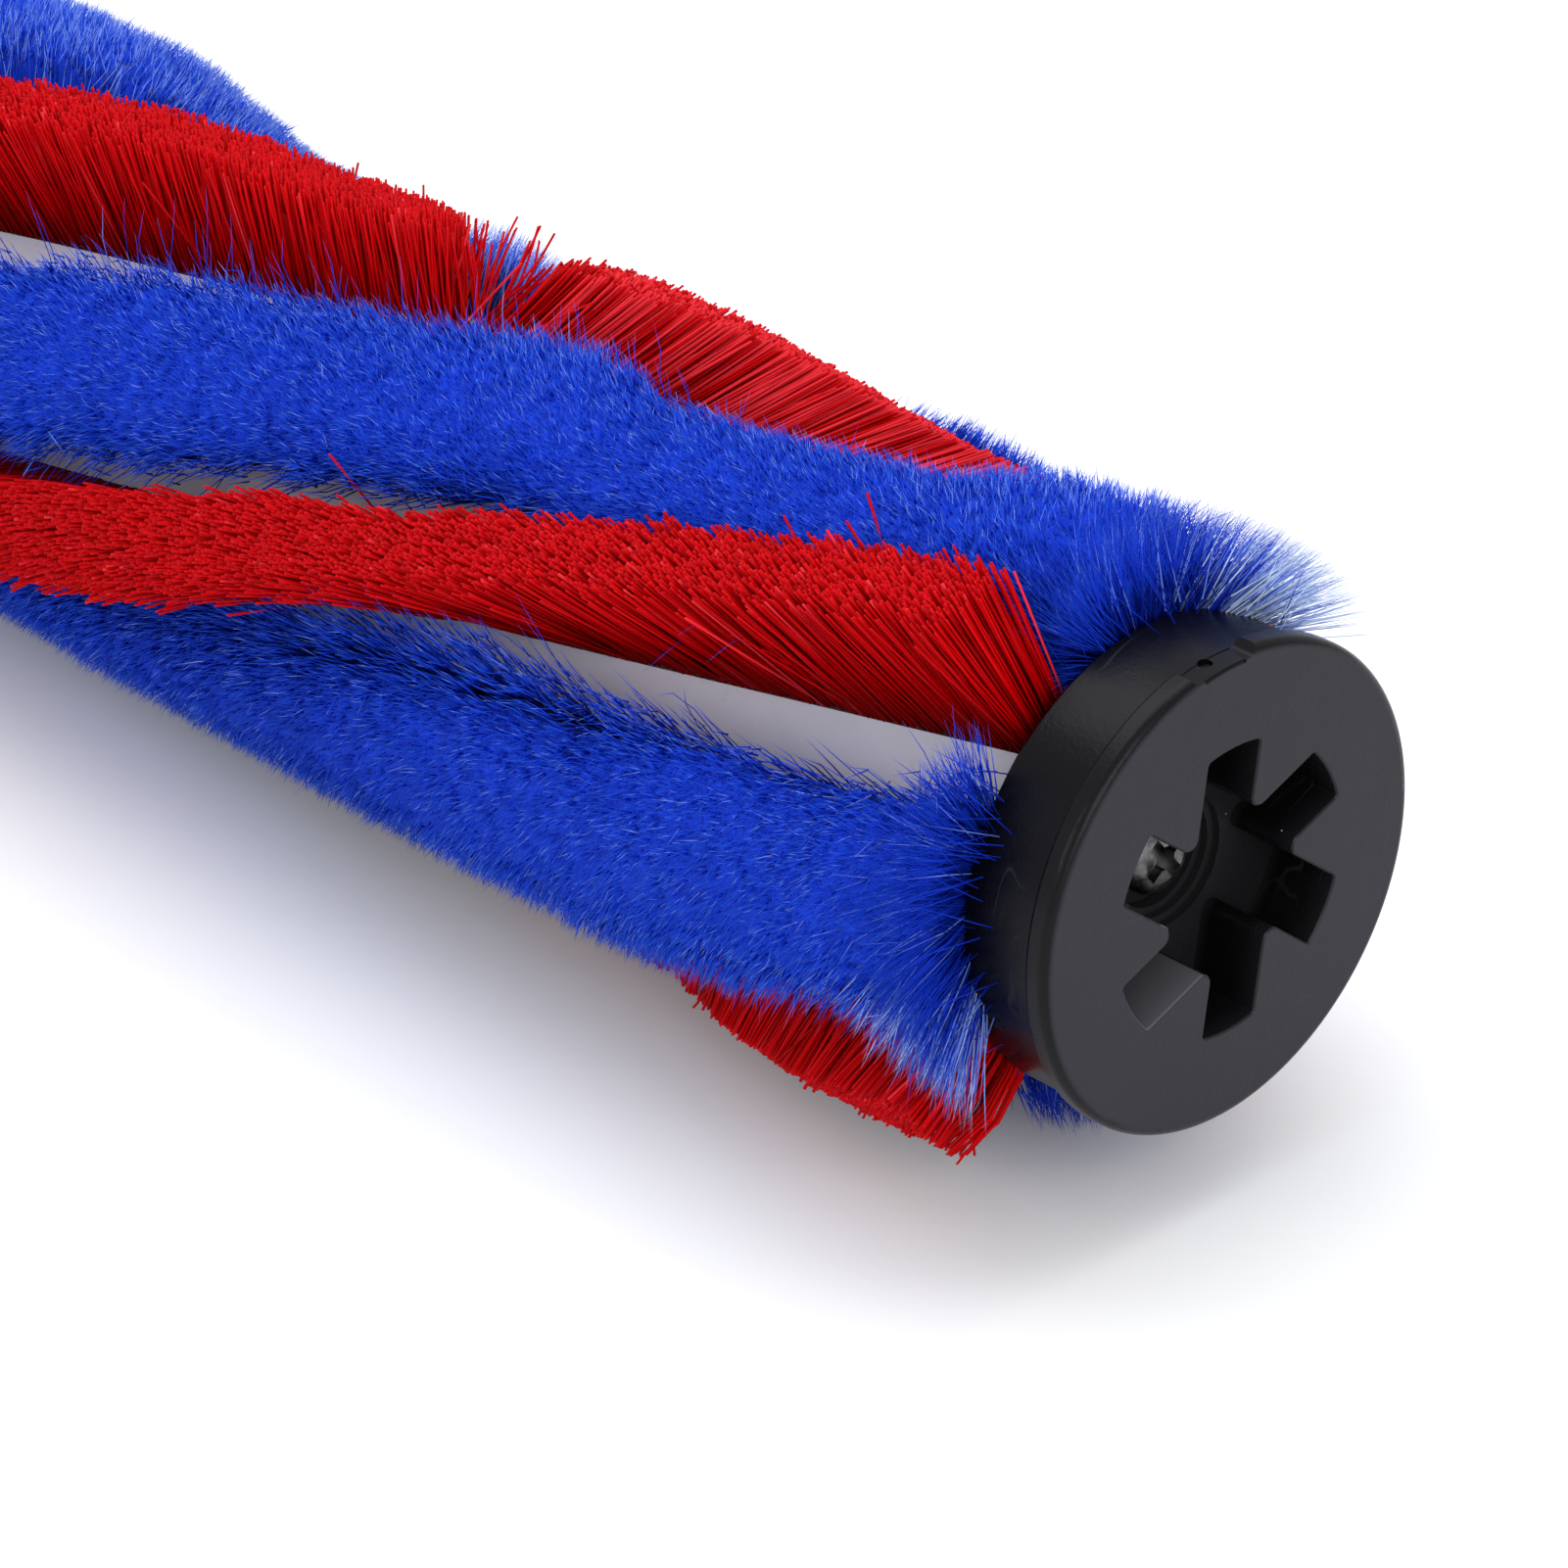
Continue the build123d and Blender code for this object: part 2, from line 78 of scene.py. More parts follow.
def noise2(x, y, scale, seed):
    table = np.random.default_rng(seed).uniform(-1, 1, (256, 256))
    u, v = np.asarray(x, float) / scale + 900.0, np.asarray(y, float) / scale + 900.0
    i, j = np.floor(u).astype(int), np.floor(v).astype(int)
    f, g = u - i, v - j
    f, g = f * f * (3 - 2 * f), g * g * (3 - 2 * g)
    a, b = i % 256, (i + 1) % 256
    c, d = j % 256, (j + 1) % 256
    return ((table[a, c] * (1 - f) + table[b, c] * f) * (1 - g)
            + (table[a, d] * (1 - f) + table[b, d] * f) * g)


def ramp(x, x0, x1):
    """0 before x0, 1 after x1, smooth between."""
    t = np.clip((np.asarray(x, float) - x0) / (x1 - x0), 0, 1)
    return t * t * (3 - 2 * t)


def unit(v):
    return v / np.maximum(np.linalg.norm(v, axis=1, keepdims=True), 1e-9)


# ---------------------------------------------------------------------------
# meshes of many filaments, each one closed
# ---------------------------------------------------------------------------
U_STEP = 0.0025          # width of one side of a filament on the colour map


class Batch:
    """Collects closed pieces of mesh with their shade values: (one number for each piece, root to tip, side)."""

    def __init__(self):
        self.co, self.tri, self.shade, self.mat, self.uv = [], [], [], [], []
        self.n = 0

    def add(self, co, tri, shade, mat, uv):
        self.co.append(co)
        self.tri.append(tri + self.n)
        self.shade.append(shade)
        self.mat.append(np.full(len(tri), mat, np.int32))
        self.uv.append(uv)
        self.n += len(co)

    def spread(self, co, sh, faces, du, dv):
        """Repeats one template of faces over all filaments. du and dv lay the sides out on the map."""
        n, k = sh.shape[:2]
        faces = np.array(faces)
        tri = (np.arange(n)[:, None, None] * k + faces[None]).reshape(-1, 3)
        uv = np.empty((n, len(faces), 3, 2))
        uv[..., 0] = 0.01 + 0.465 * sh[:, 0, 0][:, None, None] + np.array(du)[None] * U_STEP
        uv[..., 1] = 0.01 + 0.98 * np.clip(sh[:, :, 1][:, faces] + np.array(dv)[None], 0, 1)
        self.add(co.reshape(-1, 3), tri, sh.reshape(-1, 3), 0, uv.reshape(-1, 2))

    def filaments(self, p0, p1, r0, r1, bend, segments, blunt, rng, t0=0.0, shade=None, wave=None):
        """Three-sided filaments from p0 to p1. blunt ones end in a low bead, the others in a point."""
        n = len(p0)
        axis = p1 - p0
        t_dir = unit(axis)
        u = unit(np.cross(t_dir, rng.normal(size=(n, 3))))
        v = np.cross(t_dir, u)
        turn = np.arange(3) * 2 * math.pi / 3
        ring = np.cos(turn)[None, :, None] * u[:, None] + np.sin(turn)[None, :, None] * v[:, None]
        rings = segments + 1 if blunt else segments
        r0 = np.broadcast_to(np.asarray(r0, float), (n,))
        r1 = np.broadcast_to(np.asarray(r1, float), (n,))
        t0 = np.broadcast_to(np.asarray(t0, float), (n,))
        rand = rng.random(n) if shade is None else shade
        co = np.empty((n, rings * 3 + 1, 3))
        sh = np.zeros((n, rings * 3 + 1, 3))
        sh[:, :, 0] = rand[:, None]
        for j in range(rings):
            t = j / segments
            c = p0 + axis * t + bend * (4 * t * (1 - t))
            if wave is not None:
                c = c + wave[0] * math.sin(2 * math.pi * t) + wave[1] * math.sin(4 * math.pi * t) * t
            r = r0 + (r1 - r0) * t
            co[:, j * 3:j * 3 + 3] = c[:, None] + ring * r[:, None, None]
            sh[:, j * 3:j * 3 + 3, 1] = np.minimum(t0 + (1 - t0) * t, 0.985)[:, None]
        co[:, -1] = p1 + t_dir * (r1 * 0.55)[:, None] if blunt else p1
        sh[:, -1, 1] = 1.0
        faces, du, dv = [(0, 2, 1)], [(0, 2, 1)], [(0.0, 0.0, 0.012)]
        for j in range(rings - 1):
            a, b = j * 3, j * 3 + 3
            for k in range(3):
                m = (k + 1) % 3
                faces += [(a + k, a + m, b + m), (a + k, b + m, b + k)]
                du += [(k, k + 1, k + 1), (k, k + 1, k)]
                dv += [(0.0, 0.0, 0.0)] * 2
        top, apex = (rings - 1) * 3, rings * 3
        for k in range(3):
            faces.append((top + k, top + (k + 1) % 3, apex))
            du.append((k, k + 1, k + 0.5))
            dv.append((0.0, 0.0, 0.0))
        self.spread(co, sh, faces, du, dv)

    def studs(self, p0, p1, r1, rng, t0, shade):
        """Four-sided filaments whose hidden foot runs to a point and whose end is blunt."""
        n = len(p0)
        t_dir = unit(p1 - p0)
        u = unit(np.cross(t_dir, rng.normal(size=(n, 3))))
        v = np.cross(t_dir, u)
        turn = np.arange(4) * math.pi / 2
        ring = np.cos(turn)[None, :, None] * u[:, None] + np.sin(turn)[None, :, None] * v[:, None]
        co = np.empty((n, 5, 3))
        sh = np.zeros((n, 5, 3))
        co[:, :4] = p1[:, None] + ring * np.broadcast_to(r1, (n,))[:, None, None]
        co[:, 4] = p0
        sh[:, :, 0] = shade[:, None]
        sh[:, :4, 1] = 0.99
        sh[:, 4, 1] = t0
        faces = [(k, 4, (k + 1) % 4) for k in range(4)] + [(0, 1, 2), (0, 2, 3)]
        du = [(k * 0.75, k * 0.75 + 0.375, k * 0.75 + 0.75) for k in range(4)] + [(0, 1, 2), (0, 2, 1)]
        dv = [(0.0, 0.0, 0.0)] * 4 + [(0.0, 0.01, 0.0), (0.0, 0.0, 0.01)]
        self.spread(co, sh, faces, du, dv)

    def prism(self, co, side, mat):
        """Closed skin over a grid of sections: co is (stations, points, 3), side is the same grid's place across."""
        m, k, _ = co.shape
        sh = np.zeros((m, k, 3))
        sh[:, :, 0] = np.arange(k)[None] / (k - 1)
        sh[:, :, 1] = np.linspace(0, 1, m)[:, None]
        sh[:, :, 2] = side
        tri, uv = [], []

        def at(i, j, u=None, dv=0.0):
            return (0.52 + 0.45 * j / (k - 1) if u is None else u, 0.01 + 0.98 * (i / (m - 1)) + dv)

        for i in range(m - 1):
            for j in range(k):
                l = (j + 1) % k
                a, b = i * k + j, i * k + l
                c, d = a + k, b + k
                tri += [(a, b, d), (a, d, c)]
                ua, ub = (0.98, 0.995) if l == 0 else (None, None)
                A, B, C, D = at(i, j, ua), at(i, l, ub), at(i + 1, j, ua), at(i + 1, l, ub)
                uv += [A, B, D, A, D, C]
        e = (m - 1) * k
        for j in range(1, k - 1):
            tri += [(0, j + 1, j), (e, e + j, e + j + 1)]
            uv += [at(0, 0, None, 0.008), at(0, j + 1), at(0, j), at(m - 1, 0, None, -0.008), at(m - 1, j), at(m - 1, j + 1)]
        self.add(co.reshape(-1, 3), np.array(tri), sh.reshape(-1, 3), mat, np.array(uv))

    def build(self, name, materials):
        co = np.concatenate(self.co) * MM
        tri = np.concatenate(self.tri)
        shade = np.concatenate(self.shade)
        mat = np.concatenate(self.mat)
        mesh = bpy.data.meshes.new(name)
        mesh.vertices.add(len(co))
        mesh.vertices.foreach_set("co", co.astype(np.float32).ravel())
        mesh.loops.add(len(tri) * 3)
        mesh.loops.foreach_set("vertex_index", tri.astype(np.int32).ravel())
        mesh.polygons.add(len(tri))
        mesh.polygons.foreach_set("loop_start", np.arange(0, len(tri) * 3, 3, dtype=np.int32))
        mesh.polygons.foreach_set("material_index", mat)
        mesh.polygons.foreach_set("use_smooth", np.ones(len(tri), bool))
        fib = mesh.attributes.new("fib", "FLOAT_VECTOR", "POINT")
        fib.data.foreach_set("vector", shade.astype(np.float32).ravel())
        layer = mesh.uv_layers.new(name="OFBake", do_init=False)
        layer.uv.foreach_set("vector", np.concatenate(self.uv).astype(np.float32).ravel())
        mesh.update(calc_edges=True)
        for m in materials:
            mesh.materials.append(m)
        ob = bpy.data.objects.new(name, mesh)
        scene.collection.objects.link(ob)
        return ob


# ---------------------------------------------------------------------------
# material helpers
# ---------------------------------------------------------------------------
class Mat:
    def __init__(self, name):
        self.m = bpy.data.materials.new(name)
        self.m.use_nodes = True
        self.t = self.m.node_tree
        self.t.nodes.clear()
        self.out = self.t.nodes.new("ShaderNodeOutputMaterial")
        self.p = self.t.nodes.new("ShaderNodeBsdfPrincipled")
        self.t.links.new(self.p.outputs[0], self.out.inputs[0])

    def node(self, kind, **props):
        n = self.t.nodes.new(kind)
        for k, v in props.items():
            setattr(n, k, v)
        return n

    def link(self, a, b):
        self.t.links.new(a, b)

    def coords(self, scale=(1, 1, 1), kind="Object"):
        tc = self.node("ShaderNodeTexCoord")
        mp = self.node("ShaderNodeMapping")
        mp.inputs["Scale"].default_value = scale
        self.link(tc.outputs[kind], mp.inputs["Vector"])
        return mp.outputs["Vector"]

    def noise(self, vec, scale, detail=4.0, rough=0.55, distortion=0.0):
        n = self.node("ShaderNodeTexNoise")
        n.inputs["Scale"].default_value = scale
        n.inputs["Detail"].default_value = detail
        n.inputs["Roughness"].default_value = rough
        n.inputs["Distortion"].default_value = distortion
        self.link(vec, n.inputs["Vector"])
        return n.outputs["Fac"]

    def voronoi(self, vec, scale, feature="F1"):
        n = self.node("ShaderNodeTexVoronoi", feature=feature)
        n.inputs["Scale"].default_value = scale
        self.link(vec, n.inputs["Vector"])
        return n

    def ramp(self, fac, stops, interp="LINEAR"):
        n = self.node("ShaderNodeValToRGB")
        n.color_ramp.interpolation = interp
        e = n.color_ramp.elements
        while len(e) < len(stops):
            e.new(0.5)
        for i, (pos, col) in enumerate(stops):
            e[i].position = pos
            e[i].color = (*col, 1.0) if len(col) == 3 else col
        self.link(fac, n.inputs["Fac"])
        return n.outputs["Color"]

    def grey(self, fac, stops, interp="LINEAR"):
        return self.ramp(fac, [(p, (v, v, v)) for p, v in stops], interp)

    def math(self, op, a, b=None, clamp=False):
        n = self.node("ShaderNodeMath", operation=op, use_clamp=clamp)
        for s, v in zip(n.inputs, (a, b)):
            if v is None:
                continue
            if isinstance(v, (int, float)):
                s.default_value = v
            else:
                self.link(v, s)
        return n.outputs[0]

    def mix(self, fac, a, b, blend="MIX"):
        n = self.node("ShaderNodeMix", data_type="RGBA", blend_type=blend)
        ins = [n.inputs[0], n.inputs[6], n.inputs[7]]
        for s, v in zip(ins, (fac, a, b)):
            if isinstance(v, (int, float)):
                s.default_value = v
            elif isinstance(v, tuple):
                s.default_value = (*v, 1.0)
            else:
                self.link(v, s)
        return n.outputs[2]

    def bump(self, height, strength, distance, normal=None):
        n = self.node("ShaderNodeBump")
        n.inputs["Strength"].default_value = strength
        n.inputs["Distance"].default_value = distance
        self.link(height, n.inputs["Height"])
        if normal is not None:
            self.link(normal, n.inputs["Normal"])
        return n.outputs["Normal"]

    def set(self, **values):
        names = {"color": "Base Color", "rough": "Roughness", "metal": "Metallic", "normal": "Normal",
                 "spec": "Specular IOR Level", "ior": "IOR", "coat": "Coat Weight",
                 "coat_rough": "Coat Roughness", "sheen": "Sheen Weight", "sheen_rough": "Sheen Roughness",
                 "sss": "Subsurface Weight", "sss_scale": "Subsurface Scale",
                 "sss_radius": "Subsurface Radius", "trans": "Transmission Weight"}
        for k, v in values.items():
            s = self.p.inputs[names[k]]
            if isinstance(v, tuple) and k == "color":
                s.default_value = (*v, 1.0)
            elif isinstance(v, (int, float, tuple)):
                s.default_value = v
            else:
                self.link(v, s)
        return self


def paint(name, material):
    ob = nodes[name]
    ob.data.materials.clear()
    ob.data.materials.append(material.m)


# ---------------------------------------------------------------------------
# bristle materials: the shade values are (one number for each filament, root to tip, side)
# ---------------------------------------------------------------------------
def filament_values(m):
    at = m.node("ShaderNodeAttribute", attribute_name="fib", attribute_type="GEOMETRY")
    sep = m.node("ShaderNodeSeparateXYZ")
    m.link(at.outputs["Vector"], sep.inputs[0])
    return sep.outputs["X"], sep.outputs["Y"]


def red_filament_material():
    m = Mat("red_nylon_filament")
    rnd, along = filament_values(m)
    # painted shade and highlight: darker towards the root where the filaments shade each other, and a painted highlight
    # on the bead at the tip
    body = m.ramp(along, [(0.0, (0.36, 0.0004, 0.001)), (0.35, (0.51, 0.0006, 0.0015)),
                          (0.75, (0.53, 0.0008, 0.0025)), (0.96, (0.51, 0.001, 0.003)),
                          (0.985, (0.55, 0.003, 0.007)), (1.0, (0.68, 0.016, 0.02))])
    tint = m.ramp(rnd, [(0.0, (0.62, 0.5, 0.5)), (0.35, (0.86, 0.85, 0.85)), (0.7, (1.0, 1.0, 1.0)),
                        (1.0, (1.0, 1.0, 1.0))])
    col = m.mix(1.0, body, tint, "MULTIPLY")
    # painted highlight: filaments with the top shade values are painted as lit pink-red
    lit = m.grey(rnd, [(0.0, 0.0), (0.92, 0.0), (0.945, 0.45), (1.0, 0.75)])
    col = m.mix(lit, col, (0.80, 0.035, 0.05))
    m.set(color=col, rough=0.42, spec=0.04, ior=1.5)
    return m


def blue_filament_material():
    m = Mat("blue_nylon_filament")
    rnd, along = filament_values(m)
    # painted shade and highlight: darker towards the root where the pile shades itself, and a painted highlight at the
    # tip
    body = m.ramp(along, [(0.0, (0.003, 0.011, 0.2)), (0.4, (0.005, 0.024, 0.4)),
                          (0.75, (0.006, 0.04, 0.56)), (0.9, (0.009, 0.056, 0.66)),
                          (1.0, (0.045, 0.16, 0.88))])
    tint = m.ramp(rnd, [(0.0, (0.55, 0.55, 0.62)), (0.3, (0.82, 0.82, 0.88)), (0.7, (1.0, 1.0, 1.0)),
                        (1.0, (1.0, 1.0, 1.0))])
    col = m.mix(1.0, body, tint, "MULTIPLY")
    # a painted glint at the tip of some, and some painted pale all along as light shining through them
    tip = m.math("MULTIPLY", m.grey(rnd, [(0.0, 0.0), (0.84, 0.0), (0.87, 1.0), (1.0, 1.0)]),
                 m.grey(along, [(0.0, 0.0), (0.915, 0.0), (0.97, 0.75), (1.0, 0.75)]))
    pale = m.grey(rnd, [(0.0, 0.0), (0.925, 0.0), (0.945, 0.4), (1.0, 0.75)])
    col = m.mix(m.math("MAXIMUM", tip, pale), col, (0.33, 0.50, 0.96))
    # painted light: the palest are painted near white, as the most lit through
    white = m.grey(rnd, [(0.0, 0.0), (0.96, 0.0), (0.975, 0.8), (1.0, 1.0)])
    col = m.mix(white, col, (0.60, 0.74, 0.98))
    m.set(color=col, rough=0.45, spec=0.05, ior=1.5)
    return m


def bulk_material(name, dark, light):
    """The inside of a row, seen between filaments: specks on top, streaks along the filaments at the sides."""
    m = Mat(name)
    at = m.node("ShaderNodeAttribute", attribute_name="fib", attribute_type="GEOMETRY")
    mp = m.node("ShaderNodeMapping")
    mp.inputs["Scale"].default_value = (0.0, 199.0, 1.0)
    m.link(at.outputs["Vector"], mp.inputs["Vector"])
    fine = m.noise(mp.outputs["Vector"], 4.5, 3, 0.65)
    mid = m.noise(mp.outputs["Vector"], 0.7, 2, 0.5)
    f = m.math("ADD", m.math("MULTIPLY", fine, 0.75), m.math("MULTIPLY", mid, 0.25))
    half = tuple(0.5 * (a + b) for a, b in zip(dark, light))
    # painted shade: the dark specks and streaks stand for shade between filaments
    m.set(color=m.ramp(f, [(0.36, dark), (0.5, half), (0.62, light)]), rough=0.7, spec=0.05)
    return m


red_fil = red_filament_material()
blue_fil = blue_filament_material()
# inner colours run from painted shade (dark) to the filaments' own colour (light)
red_bulk = bulk_material("red_nylon_inner", (0.08, 0.0002, 0.0004), (0.42, 0.0008, 0.0016))
blue_bulk = bulk_material("blue_nylon_inner", (0.004, 0.014, 0.22), (0.010, 0.055, 0.66))


# ---------------------------------------------------------------------------
# rows
# ---------------------------------------------------------------------------
def to_radius(root, d, radius):
    """How far along unit vector d from root the distance from the axis becomes radius."""
    a = d[:, 1] ** 2 + d[:, 2] ** 2
    b = root[:, 1] * d[:, 1] + root[:, 2] * d[:, 2]
    c = root[:, 1] ** 2 + root[:, 2] ** 2 - radius ** 2
    return (-b + np.sqrt(np.maximum(b * b - a * c, 0))) / np.maximum(a, 1e-6)


def body_of(batch, place, depth_of, half_root, narrow):
    """Solid inside of a row, under the same surface as its filaments' ends but lower and narrower."""
    xs = np.linspace(X_LO + 0.7, X_HI - 0.7, 150)
    prof = [(-1, 0.0), (-1, 0.35), (-1, 0.7)] + [(s, 1.0) for s in np.linspace(-1, 1, 9)] \
        + [(1, 0.7), (1, 0.35), (1, 0.0)]
    co = np.empty((len(xs), len(prof), 3))
    side = np.empty((len(xs), len(prof)))
    for j, (s, h) in enumerate(prof):
        root, tip = place(xs, np.full_like(xs, s * narrow))
        span = np.linalg.norm(tip - root, axis=1)
        reach = np.maximum(span - depth_of(xs, np.full_like(xs, float(s))), 0.5) / span
        p = root + (tip - root) * (reach * h)[:, None]
        p[:, 0] = np.clip(p[:, 0], X_LO + 0.3, X_HI - 0.25)
        co[:, j] = p
        side[:, j] = s * half_root * 2.0
    batch.prism(co, side, 1)


def red_row(index, phi0):
    rng = np.random.default_rng(100 + index)
    batch = Batch()
    half_root = 1.85
    part = 30.5                          # where row 4 is parted

    def fields(x, side_x):
        """Lean along the axis and round it for each unit of height, fan, reach of the ends, and fixed length or 0."""
        if index == 4:
            left = side_x < part
            kx = np.where(left, -0.38 - 0.10 * ramp(x, part - 14, part - 1),
                          0.62 - 0.08 * ramp(x, part, part + 30) - 0.85 * ramp(x, 78, 95))
            kt = np.where(left, -0.33, -0.68 - 0.60 * ramp(x, part + 1, 70))
            fan = np.where(left, 0.11, 0.08)
            height = 25.2 - 2.1 * ramp(x, -6, 33)
            fixed = np.where(left, 0.0, 10.5)
        else:
            kx0, kt0 = {1: (-0.56, -0.37), 2: (-0.16, 0.20), 3: (-0.4, -0.42)}[index]
            kx = kx0 * (1 - 0.12 * ramp(x, 96, 104)) + 0.3 * ramp(-x, 88, 95)
            kt = np.full_like(x, kt0)
            fan = np.full_like(x, 0.11)
            height = np.full_like(x, R_TIP)
            if index == 1:
                open_ = 1 - ramp(x, 14, 66)
                kt = kt + 0.24 * open_
                fan = fan + 0.17 * open_
            if index == 2:
                height = height + 0.9 * ramp(x, 62, 92)
                fan = fan + 0.10 * ramp(x, 84, 98)
                kt = kt + 0.32 * (1 - ramp(x, 66, 82))
            fixed = np.zeros_like(x)
        kx = kx + 0.07 * noise1(x, 11, 50 + index)
        kt = kt + 0.045 * noise1(x, 13, 60 + index)
        return kx, kt, fan, height, fixed

    def roots(x, s):
        n = len(x)
        ex, et, er = frames(x, base_phi(phi0, x))
        root = np.stack([x, np.zeros(n), np.zeros(n)], 1) + et * (s * half_root)[:, None] + er * R_ROOT
        return root, ex, et, er

    pitch = 0.335
    gx, gs = np.meshgrid(np.arange(X_LO + 0.15, X_HI - 0.1, pitch), np.linspace(-1, 1, 17))
    x = gx.ravel() + rng.uniform(-0.5, 0.5, gx.size) * pitch * 0.9
    level = gs.ravel()
    s = level + rng.uniform(-0.5, 0.5, gx.size) * 0.115
    x = np.clip(x, X_LO + 0.05, X_HI - 0.05)
    n = len(x)
    root, ex, et, er = roots(x, s)
    near = np.exp(-((x - part) / 2.6) ** 2) if index == 4 else np.zeros(n)
    kx, kt, fan, height, fixed = fields(x, x + rng.normal(0, 0.9, n))
    clump = noise2(x, s * 2.9, 0.9, 70 + index)
    kx = kx + 0.05 * noise2(x, s * 3, 2.2, 71 + index) + rng.normal(0, 0.022, n) + 0.03 * clump
    kt = kt + fan * s + 0.045 * noise2(x, s * 3, 2.4, 72 + index) + rng.normal(0, 0.022, n)
    kx = kx + near * rng.normal(0, 0.10, n)
    kt = kt + near * rng.normal(0, 0.10, n)
    # the outer filaments on the +phi side splay a little more
    front = np.clip((s - 0.75) / 0.25, 0, 1)
    kt = kt + front * np.abs(rng.normal(0, 0.08, n))
    kx = kx - front * np.abs(rng.normal(0, 0.12, n)) * np.sign(-kx + 1e-6)
    # near the ends the filaments fan out along the axis
    kx = kx + 0.10 * ramp(x, 99, 104) * rng.random(n) - 0.10 * ramp(-x, 90, 95) * rng.random(n)
    stray = rng.random(n) < 0.006
    kx = np.where(stray, kx + rng.normal(0, 0.25, n), kx)
    kt = np.where(stray, kt + rng.normal(0, 0.2, n), kt)
    d = unit(ex * kx[:, None] + et * kt[:, None] + er)
    height = height - 0.15 + 0.22 * noise1(x, 15, 80 + index) + 0.16 * noise2(x, s * 3, 1.3, 81 + index) \
        + rng.normal(0, 0.10, n) - 0.5 * np.maximum(s, 0) ** 4 * rng.random(n)
    height = height + np.where(rng.random(n) < 0.015, rng.uniform(0.1, 0.7, n), 0)
    length = np.where(fixed > 0, fixed + 0.25 * noise1(x, 12, 82 + index) + 0.15 * clump + rng.normal(0, 0.12, n),
                      to_radius(root, d, height))
    length = np.clip(length - near * rng.uniform(0, 1.4, n), 4, 15.5)
    tip = root + d * length[:, None]
    thick = rng.uniform(0.115, 0.135, n)
    shade = np.clip(0.55 + 0.28 * clump + rng.normal(0, 0.2, n), 0, 0.9)
    # painted highlight: a share of filaments takes the lit values, most on row 4 right of its parting
    painted_highlight_share = 0.02 + (0.68 * ramp(x, part + 1, part + 8) * (1 - ramp(x, 78, 96)) if index == 4 else 0.0)
    shade = np.where(rng.random(n) < painted_highlight_share, rng.uniform(0.95, 1.0, n), shade)
    # only the outer ones, and those at an end or a parting, are seen down to the core
    whole = (np.abs(level) > 0.8) | (x < X_LO + 1.6) | (x > X_HI - 1.6) | stray | (near > 0.25)
    kept = rng.random(n) > 0.93 * np.exp(-((x - part) / 1.6) ** 2) if index == 4 else np.ones(n, bool)
    # at the drive end the lower row swells towards the cap
    swell = ramp(x, 97.5, 103.5) * ramp(s, -0.1, 0.8) if index == 2 else np.zeros(n)
    curved = (swell > 0.1) | (near > 0.6)
    w = np.flatnonzero(whole & ~curved & kept)
    batch.filaments(root[w], tip[w], thick[w], thick[w] * 0.98, np.zeros((len(w), 3)), 1, True, rng, 0.0, shade[w])
    w = np.flatnonzero(curved & kept)
    if len(w):
        bend = et[w] * (rng.normal(0, 0.25, len(w)) + 1.0 * swell[w])[:, None] \
            + ex[w] * (rng.normal(0, 0.25, len(w)) + 1.3 * swell[w])[:, None]
        batch.filaments(root[w], tip[w], thick[w], thick[w] * 0.98, bend, 3, True, rng, 0.0, shade[w])
    i = np.flatnonzero(~whole & ~curved)
    start = 0.36
    batch.studs(root[i] + (tip[i] - root[i]) * start, tip[i], thick[i] * 1.16, rng, start, shade[i])

    # single filaments that hang out of the row
    n = 26
    x = rng.uniform(X_LO + 4, X_HI - 6, n)
    s = np.where(rng.random(n) < (1.0 if index == 1 else 0.6), 1.0, -1.0) * rng.uniform(0.8, 1.0, n)
    if index == 1:
        x[:14] = rng.uniform(44, 72, 14)
        s[:14] = rng.uniform(0.85, 1.0, 14)
    root, ex, et, er = roots(x, s)
    kx, kt, fan, height, fixed = fields(x, x)
    kx = kx + np.sign(kx) * rng.uniform(0.2, 0.8, n)
    kt = kt + s * rng.uniform(0.12, 0.38, n)
    d = unit(ex * kx[:, None] + et * kt[:, None] + er)
    tip = root + d * rng.uniform(9.6, 11.8, n)[:, None]
    bend = ex * rng.normal(0, 0.3, (n, 1)) + et * rng.normal(0, 0.3, (n, 1))
    batch.filaments(root, tip, 0.115, 0.11, bend, 4, True, rng, 0.0, rng.uniform(0.4, 0.9, n))

    if index == 4:
        # a tuft that lies across the parting
        n = 10
        x, s = rng.uniform(part - 1.0, part + 2.0, n), rng.uniform(-1, 1, n)
        root, ex, et, er = roots(x, s)
        d = unit(ex * rng.uniform(-0.45, -0.05, (n, 1)) + et * rng.uniform(-1.0, -0.7, (n, 1)) + er)
        tip = root + d * rng.uniform(10.0, 11.5, n)[:, None]
        bend = ex * rng.normal(0, 0.3, (n, 1)) + et * rng.normal(0, 0.3, (n, 1))
        batch.filaments(root, tip, 0.12, 0.115, bend, 4, True, rng, 0.0, rng.uniform(0.3, 0.9, n))

    def place(xs, ss):
        root, ex, et, er = roots(xs, ss)
        kx, kt, fan, height, fixed = fields(xs, xs)
        d = unit(ex * kx[:, None] + et * (kt + fan * ss)[:, None] + er)
        return root, root + d * np.where(fixed > 0, fixed, to_radius(root, d, height))[:, None]

    def depth(xs, ss):
        gap = 6.5 * np.exp(-((xs - part) / 3.6) ** 2) if index == 4 else 0.0
        return 3.6 + gap

    body_of(batch, place, depth, half_root, 0.80)
    ob = batch.build(f"red_filaments_{index}", [red_fil.m, red_bulk.m])
    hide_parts(f"red_bristle_row_{index}")
    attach(ob, "roller")
    return ob


